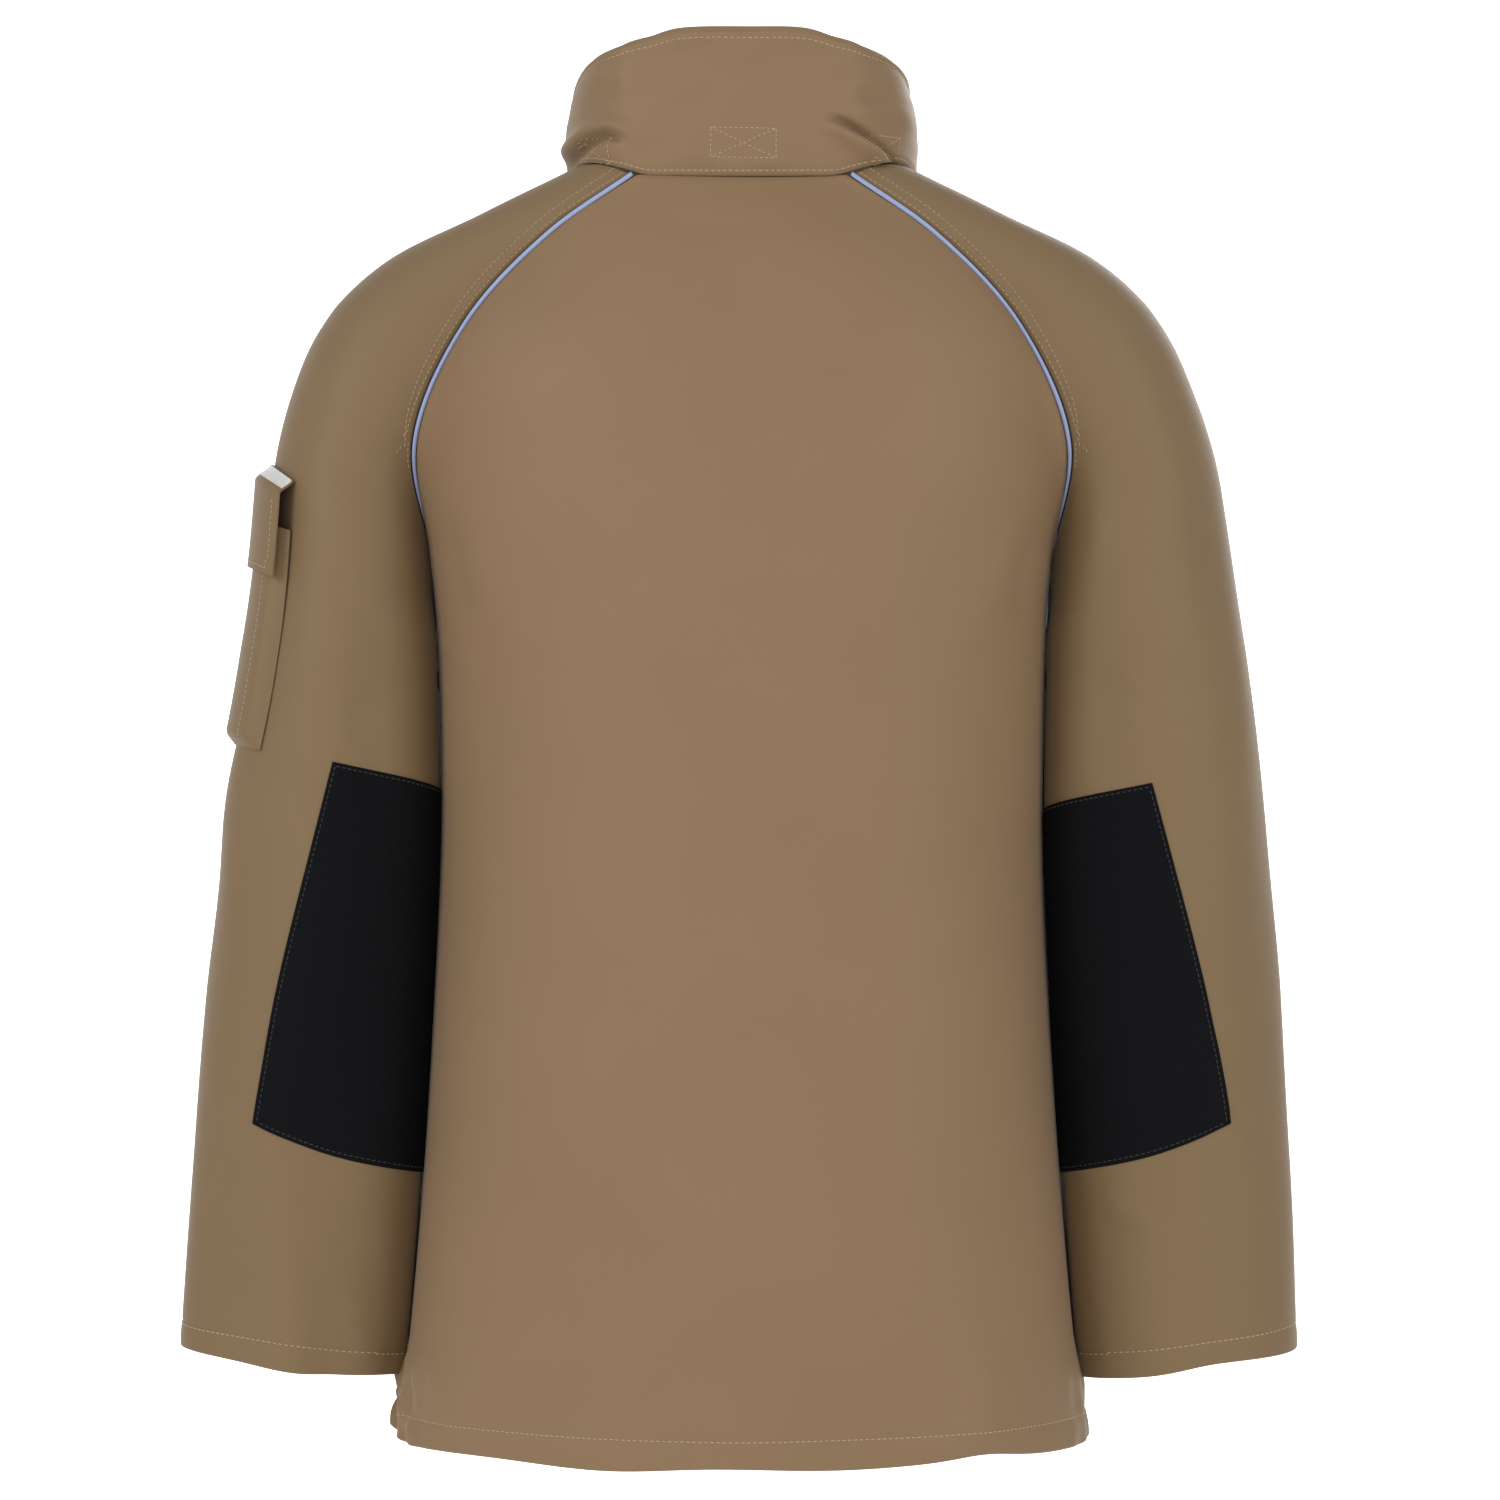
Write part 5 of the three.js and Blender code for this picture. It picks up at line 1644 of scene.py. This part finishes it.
@dataclass
class HipPocket(Pocket):
    """A hip pocket on the front: a flat pouch with a flap over its mouth."""

    x0: float = 50.0
    x1: float = 150.0
    bottom: float = 70.0
    mouth: float = 212.0
    flap_top: float = 240.0
    flap_bottom: float = 190.0

    def across(self, s: Array, v: Array) -> Array:
        """The front's u at a share across the pocket."""
        x = (self.x0 + self.x1) / 2 + s * (self.x1 - self.x0) / 2
        return self.shape.front_share(x, v)

    def build(self) -> None:
        """Makes both hip pockets, their flaps and stitches."""
        share = self.shape.row_share
        for side in Side:
            label = side.label

            def pouch_height(s: Array, t: Array) -> Array:
                """Flat front with rounded bellows at the sides and bottom."""
                rim = smooth(1 - np.abs(s), 0.0, 0.06) * smooth(1 - t, 0.0, 0.05)
                sag = 0.5 * soft_noise(s * 40, t * 60, 50, 31)
                return 1.3 + (self.depth - 1.0 + sag) * rim ** 0.6

            def flap_height(s: Array, t: Array) -> Array:
                """Sewn down along its top and lying over the pouch below."""
                drop = smooth(t, 0.0, 0.16)
                return 1.5 + (self.under + 0.4) * drop + 0.5 * np.sin(s * 4 + 1) * t

            pouch = self.patch(f"hip_pocket_cloth_{label}", side, self.across, share(self.mouth),
                               share(self.bottom), pouch_height)
            flap = self.patch(f"hip_flap_cloth_{label}", side, self.across, share(self.flap_top),
                              share(self.flap_bottom), flap_height)
            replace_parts(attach(pouch, "torso"), f"hip_pocket_{label}")
            s = np.linspace(-1, 1, 120)
            lines = []
            for inset, down in ((0.95, self.flap_bottom + 4), (0.88, self.flap_bottom + 9)):
                v = np.full(120, share(down))
                lines.append(self.lay_line(side, s * inset, v))
                for end in (-inset, inset):
                    v = np.linspace(share(down), share(self.flap_top - 3), 80)
                    lines.append(self.lay_line(side, np.full(80, end), v))
            flap_sewn = self.stitches(f"hip_flap_stitches_{label}", lines, flap, self.finishes.light_thread)
            pouch_lines = [self.lay_line(side, np.full(120, e * 0.93),
                                         np.linspace(share(self.bottom + 4), share(self.mouth - 2), 120))
                           for e in (-1, 1)]
            pouch_lines.append(self.lay_line(side, s * 0.93, np.full(120, share(self.bottom + 5))))
            pouch_sewn = self.stitches(f"hip_pocket_stitches_{label}", pouch_lines, pouch,
                                       self.finishes.light_thread)
            root = np.array([(self.x0 + self.x1) / 2 * side.value, -125.0, self.flap_top])
            for piece in (flap, flap_sewn):
                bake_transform(piece)
            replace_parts(flap, f"hip_pocket_flap_{label}")
            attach(pouch_sewn, "torso")

    def lay_line(self, side: Side, s: Array, v: Array) -> Array:
        """A line over the pocket at its outer level."""
        return self.face(side, self.across(s, v), v) + [0, -self.depth, 0]


@dataclass(frozen=True)
class Band:
    """A narrow tape on the sleeve pocket: its place, its height over the sleeve and its body."""

    name: str
    finish: Material
    width: float
    top: float
    low: float
    height: Callable[[Array, Array], Array]
    node: str
    slot: str
    body: str
    thick: float
    flat: tuple[float, float]


@dataclass
class SleevePocket(Pocket):
    """The flapped pocket on the left sleeve, with its hook-and-loop tapes and reflective strip."""

    half: float = 0.105
    mouth: float = 0.07
    bottom: float = 0.305
    flap_top: float = 0.02
    flap_bottom: float = 0.118
    turned: float = 0.03

    def face(self, side: Side, u: Array, v: Array) -> Array:
        """The sleeve under the pocket."""
        return self.settle(self.shape.sleeve(u, v), side)

    def outward(self, points: Array) -> Array:
        """Away from the sleeve's middle."""
        return np.array([1.0, 0, 0.2])

    def bend_flap(self, piece: Piece) -> None:
        """Bakes the piece's placement into its mesh; the flap's seam point and the point below it are worked
        out and not used.
        """
        top = self.face(Side.LEFT, np.zeros(1), np.full(1, self.flap_top))[0]
        out = self.shape.sleeve_out.at(np.array([self.flap_top]))[0]
        low = top + 11 * unit(np.array([out[2], 0.0, -out[0]]))
        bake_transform(piece)


    def build(self) -> None:
        """Makes the pocket, its flap, tapes, strip and stitches."""

        def across(s: Array, v: Array) -> Array:
            """Turns round the sleeve at a share across the pocket."""
            return s * self.half + self.turned

        def pouch_height(s: Array, t: Array) -> Array:
            """A flat front with sloping bellows, a little fuller in the middle."""
            rim = smooth(1 - np.abs(s), 0.0, 0.26) * smooth(1 - t, 0.0, 0.06)
            return 1.3 + (7.0 + 1.6 * np.sin(math.pi * np.clip(t, 0, 1)) + 0.4 * np.sin(s * 5)) * rim ** 0.6

        def flap_height(s: Array, t: Array) -> Array:
            """Rises from its seam and stands off the pouch, more towards its lower edge."""
            drop = smooth(t, 0.0, 0.15)
            return 1.5 + 9.4 * drop + 1.6 * t + 0.5 * np.sin(s * 3.2 + 0.5) * t

        def strip_height(s: Array, t: Array) -> Array:
            """On the flap, next to its seam."""
            return flap_height(s, t * 0.09) + 1.0

        def hook_height(s: Array, t: Array) -> Array:
            """Under the flap."""
            return flap_height(s, 0.59 + 0.37 * t) - 1.5

        def loop_height(s: Array, t: Array) -> Array:
            """On the pouch, under the flap."""
            return 9.7 + 1.6 * np.sin(math.pi * (0.034 + 0.153 * t))

        side = Side.LEFT
        pouch = self.patch("sleeve_pocket_cloth", side, across, self.mouth, self.bottom, pouch_height)
        flap = self.patch("sleeve_flap_cloth", side, across, self.flap_top, self.flap_bottom, flap_height)
        top, strip = self.flap_top, self.flap_top + 0.009
        bands = [Band("sleeve_pocket_strip_tape", self.finishes.strip, 0.99, top, strip, strip_height,
                      "sleeve_pocket_reflective_strip", "reflective_tape", "sleeve_flap", 0.9,
                      (0.09, 0.01)),
                 Band("sleeve_hook_tape", self.finishes.grip, 0.7, 0.078, 0.114, hook_height,
                      "sleeve_pocket_hook_tape", "grip_tape", "sleeve_flap", 1.0, (0.064, 0.0205)),
                 Band("sleeve_loop_tape", self.finishes.grip, 0.7, 0.078, 0.114, loop_height,
                      "sleeve_pocket_loop_tape", "grip_tape", "upper_arm_left", 1.0, (0.064, 0.0205))]
        for band in bands:
            s, t = np.linspace(-1, 1, 40), np.linspace(0, 1, 14)
            tt, ss = np.broadcast_arrays(t[:, None], s[None, :])
            v = band.top + (band.low - band.top) * tt
            points, normals = self.lay(side, ss * self.half * band.width + self.turned, v,
                                       band.height(ss, tt))
            piece = sheet_object(band.name, Cloth.grid(points).facing(normals.reshape(-1, 3)), band.thick,
                                 band.finish)
            if band.body == "sleeve_flap":
                self.bend_flap(piece)
            else:
                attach(piece, band.body)
            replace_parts(piece, band.node)
        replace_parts(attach(pouch, "upper_arm_left"), "sleeve_pocket")
        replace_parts(flap, "sleeve_pocket_flap")
        s = np.linspace(-0.93, 0.93, 100)

        def spots(a: Array, v: Array) -> Array:
            """Places on the pocket at its outer level."""
            return self.face(side, a * self.half + self.turned, v) + [8.0, 0, 0]

        rows = [spots(np.full(160, e * 0.7), np.linspace(self.mouth + 0.004, self.bottom - 0.01, 160))
                for e in (-1, 1)]
        rows.append(spots(s * 0.75, np.full(100, self.bottom - 0.01)))
        fine, axis = Thread(0.32, 2.5, 3.4), (250.0, 0.0, 0.0)
        pouch_sewn = self.stitches("sleeve_pocket_stitches", rows, pouch, self.finishes.light_thread, fine,
                                   axis)
        rim = [spots(np.full(80, e * 0.92), np.linspace(self.flap_top + 0.02, self.flap_bottom - 0.008, 80))
               for e in (-1, 1)]
        rim.append(spots(s, np.full(100, self.flap_bottom - 0.008)))
        flap_sewn = self.stitches("sleeve_flap_stitches", rim, flap, self.finishes.light_thread, fine, axis)
        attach(pouch_sewn, "upper_arm_left")
        self.bend_flap(flap)
        self.bend_flap(flap_sewn)


@dataclass
class FrontClosure(Assembly):
    """The zip with its tapes, teeth, slider and puller, and the storm flap over it."""

    tooth_pitch: float = 2.5

    def place(self, x: Array, y: Array, up: Array) -> Array:
        """Points from the zip's own upright frame, leaned with the front line."""
        lean = math.atan(self.shape.lean)
        return np.stack([x, -self.shape.depth + y * math.cos(lean) + up * math.sin(lean),
                         up * math.cos(lean) - y * math.sin(lean)], -1)

    def teeth(self, side: Side) -> None:
        """One row of zip teeth, each tapered towards the middle."""
        long = math.hypot(1, self.shape.lean)
        low, high = 24 * long, 796 * long
        z = np.arange(low + 1.2, high - 1.2, self.tooth_pitch) + (0 if side is Side.LEFT
                                                                  else self.tooth_pitch / 2)
        z = z[z < high - 1]
        x0, x1, y, h = 0.95, 3.0, 1.35, 0.85
        corners = [(x0, -y * 0.7, -h * 0.6), (x0, y * 0.7, -h * 0.6), (x0, y * 0.7, h * 0.6),
                   (x0, -y * 0.7, h * 0.6),
                   (x1, -y, -h), (x1, y, -h), (x1, y, h), (x1, -y, h)]
        shape = np.array(corners)
        px = np.broadcast_to(shape[None, :, 0] * side.value, (len(z), 8))
        points = self.place(px, 3.4 + np.broadcast_to(shape[None, :, 1], px.shape),
                            z[:, None] + shape[None, :, 2])
        box = np.array([[0, 1, 2, 3], [4, 7, 6, 5], [0, 4, 5, 1], [1, 5, 6, 2], [2, 6, 7, 3], [3, 7, 4, 0]])
        box = box[:, ::-1] if side is Side.LEFT else box
        faces = (box[None] + 8 * np.arange(len(z))[:, None, None]).reshape(-1, 4)
        cloth = Cloth(points.reshape(-1, 3), faces, np.zeros((len(z) * 8, 2)))
        piece = make_object(f"zip_teeth_{side.label}", cloth, [self.finishes.metal], smooth_faces=False)
        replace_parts(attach(piece, "torso"), f"zip_chain_{side.label}")

    def tape(self, side: Side) -> None:
        """One woven zip tape, with the cord at its inner edge."""
        long = math.hypot(1, self.shape.lean)
        up = np.linspace(21 * long, 799 * long, 160)
        x = np.linspace(3.4, 16.2, 9)
        xx, uu = np.broadcast_arrays(x[None, :], up[:, None])
        y = 3.0 - 0.5 * np.exp(-((xx - 3.4) ** 2)) + 0.15 * np.sin(uu / 11)
        points = self.place(xx * side.value, y, uu)
        cloth = Cloth.grid(points).facing(np.tile([0, -1.0, 0], (points.shape[0] * 9, 1)))
        piece = sheet_object(f"zip_tape_cloth_{side.label}", cloth, 0.7, self.finishes.zip_tape)
        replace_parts(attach(piece, "torso"), f"zip_tape_{side.label}")
        f"front_cloth_{side.label}"

    def storm_flap(self) -> None:
        """The flap over the zip, rolled into its seam on the left front."""
        long = math.hypot(1, self.shape.lean)
        up = np.linspace(2 * long, 708 * long, 240)
        turn = np.linspace(0, math.pi / 2, 6)[1:]
        x = np.concatenate([np.linspace(-22, 22, 44), 22 + 2.0 * np.sin(turn), [24.0, 24.0]])
        y = np.concatenate([np.full(44, -6.4), -6.4 + 2.0 * (1 - np.cos(turn)), [-3.0, -1.0]])
        xx, uu = np.broadcast_arrays(x[None, :], up[:, None])
        soft = 0.55 * soft_noise(xx, uu * 0.5, 60, 44) * smooth(xx + 22, -2, 10) * smooth(22 - xx, 0, 8)
        edge = 0.5 * np.exp(-(((xx + 22) / 1.2) ** 2)) - 0.3 * (np.exp(-(((xx + 18) / 1) ** 2))
                                                                + np.exp(-(((xx - 17) / 1) ** 2)))
        yy = np.broadcast_to(y[None, :], xx.shape) - soft * 0.8 + edge
        points = self.place(xx, yy, uu)
        cloth = Cloth.grid(points).facing(np.tile([0.05, -1.0, 0], (points.shape[0] * points.shape[1], 1)))
        flap = sheet_object("storm_flap_cloth", cloth, 1.6, self.finishes.body)
        lines = [self.place(np.full(400, e), np.full(400, -6.6), np.linspace(4 * long, 705 * long, 400))
                 for e in (-18.0, 17.0)]
        sewn = self.stitches("storm_flap_stitches", lines, flap, self.finishes.light_thread)
        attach(flap, "front_flap")
        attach(sewn, "front_flap")
        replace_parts(flap, "storm_flap")

    def build(self) -> None:
        """Makes the zip and the storm flap."""
        for side in Side:
            self.teeth(side)
            self.tape(side)
        for name in ("zip_slider", "zip_puller", "zip_bottom_stop"):
            node = bpy.data.objects[name]
            node.data.materials.clear()
            node.data.materials.append(self.finishes.metal)
            bevel = node.modifiers.new("rounded_edge", "BEVEL")
            bevel.width, bevel.segments = 0.0003, 2
            LOG.info("%s: kept from the frame", name)
        self.storm_flap()


@dataclass
class Studio:
    """The camera, the pale floor and wall, and the soft lights."""

    lens: float = 116.1
    distance: float = 3.0
    height: float = -0.325
    aside: float = -0.005

    def camera(self) -> None:
        """A camera behind the jacket, level with its lower back."""
        data = bpy.data.cameras.new("camera")
        data.lens, data.sensor_width = self.lens, 36.0
        eye = bpy.data.objects.new("camera", data)
        eye.location = (self.aside, self.distance, self.height)
        eye.rotation_euler = (math.pi / 2, 0, math.pi)
        bpy.context.scene.collection.objects.link(eye)
        bpy.context.scene.camera = eye

    def soft_light(self, name: str, place: tuple[float, float, float], size: float, power: float) -> None:
        """A square soft light that faces the jacket's chest."""
        data = bpy.data.lights.new(name, "AREA")
        data.energy, data.size = power, size
        lamp = bpy.data.objects.new(name, data)
        lamp.location = place
        lamp.rotation_euler = (Vector((0, 0, -0.25)) - Vector(place)).to_track_quat("-Z", "Y").to_euler()
        bpy.context.scene.collection.objects.link(lamp)

    def plain(self, name: str, corners: Sequence[tuple[float, float, float]], shade: float,
              glow: float) -> None:
        """A flat pale surface that isn't part of the object."""
        mesh = bpy.data.meshes.new(name)
        mesh.from_pydata(corners, [], [(0, 1, 2, 3)])
        paint = Paint(name)
        mesh.materials.append(paint.finish(Base_Color=(shade, shade, shade, 1), Roughness=0.9,
                                           Emission_Color=(1, 1, 1, 1), Emission_Strength=glow))
        made = bpy.data.objects.new(name, mesh)
        bpy.context.scene.collection.objects.link(made)

    def build(self) -> None:
        """Sets the whole studio."""
        self.camera()
        self.plain("floor", [(-5, -6, -1.8), (5, -6, -1.8), (5, 5, -1.8), (-5, 5, -1.8)], 0.85, 0.1)
        self.plain("wall", [(-5, -6, -1.8), (5, -6, -1.8), (5, -6, 3.5), (-5, -6, 3.5)], 0.9, 1.0)
        world = bpy.data.worlds.new("soft_room")
        world.use_nodes = True
        world.node_tree.nodes["Background"].inputs[0].default_value = (1.0, 1.0, 1.0, 1)
        world.node_tree.nodes["Background"].inputs[1].default_value = 0.5
        bpy.context.scene.world = world
        self.soft_light("key", (3.0, 2.7, 1.1), 1.6, 62)
        self.soft_light("fill", (-0.1, 4.6, 0.5), 2.6, 14)
        self.soft_light("right", (-3.0, 2.7, 0.9), 1.6, 46)
        self.soft_light("front_fill", (-1.5, -3.4, 1.0), 2.0, 45)
        bpy.context.scene.view_settings.view_transform = "Standard"


def main() -> None:
    """Builds every sub-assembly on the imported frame."""
    logging.basicConfig(level=logging.INFO, format="%(name)s %(message)s")
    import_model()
    Studio().build()
    shape, finishes = JacketShape(), Finishes()
    Body(shape, finishes).build()
    for side in Side:
        Sleeve(shape, finishes, side=side).build()
    Collar(shape, finishes).build()
    HipPocket(shape, finishes).build()
    SleevePocket(shape, finishes).build()
    FrontClosure(shape, finishes).build()


if __name__ == "__main__":
    main()
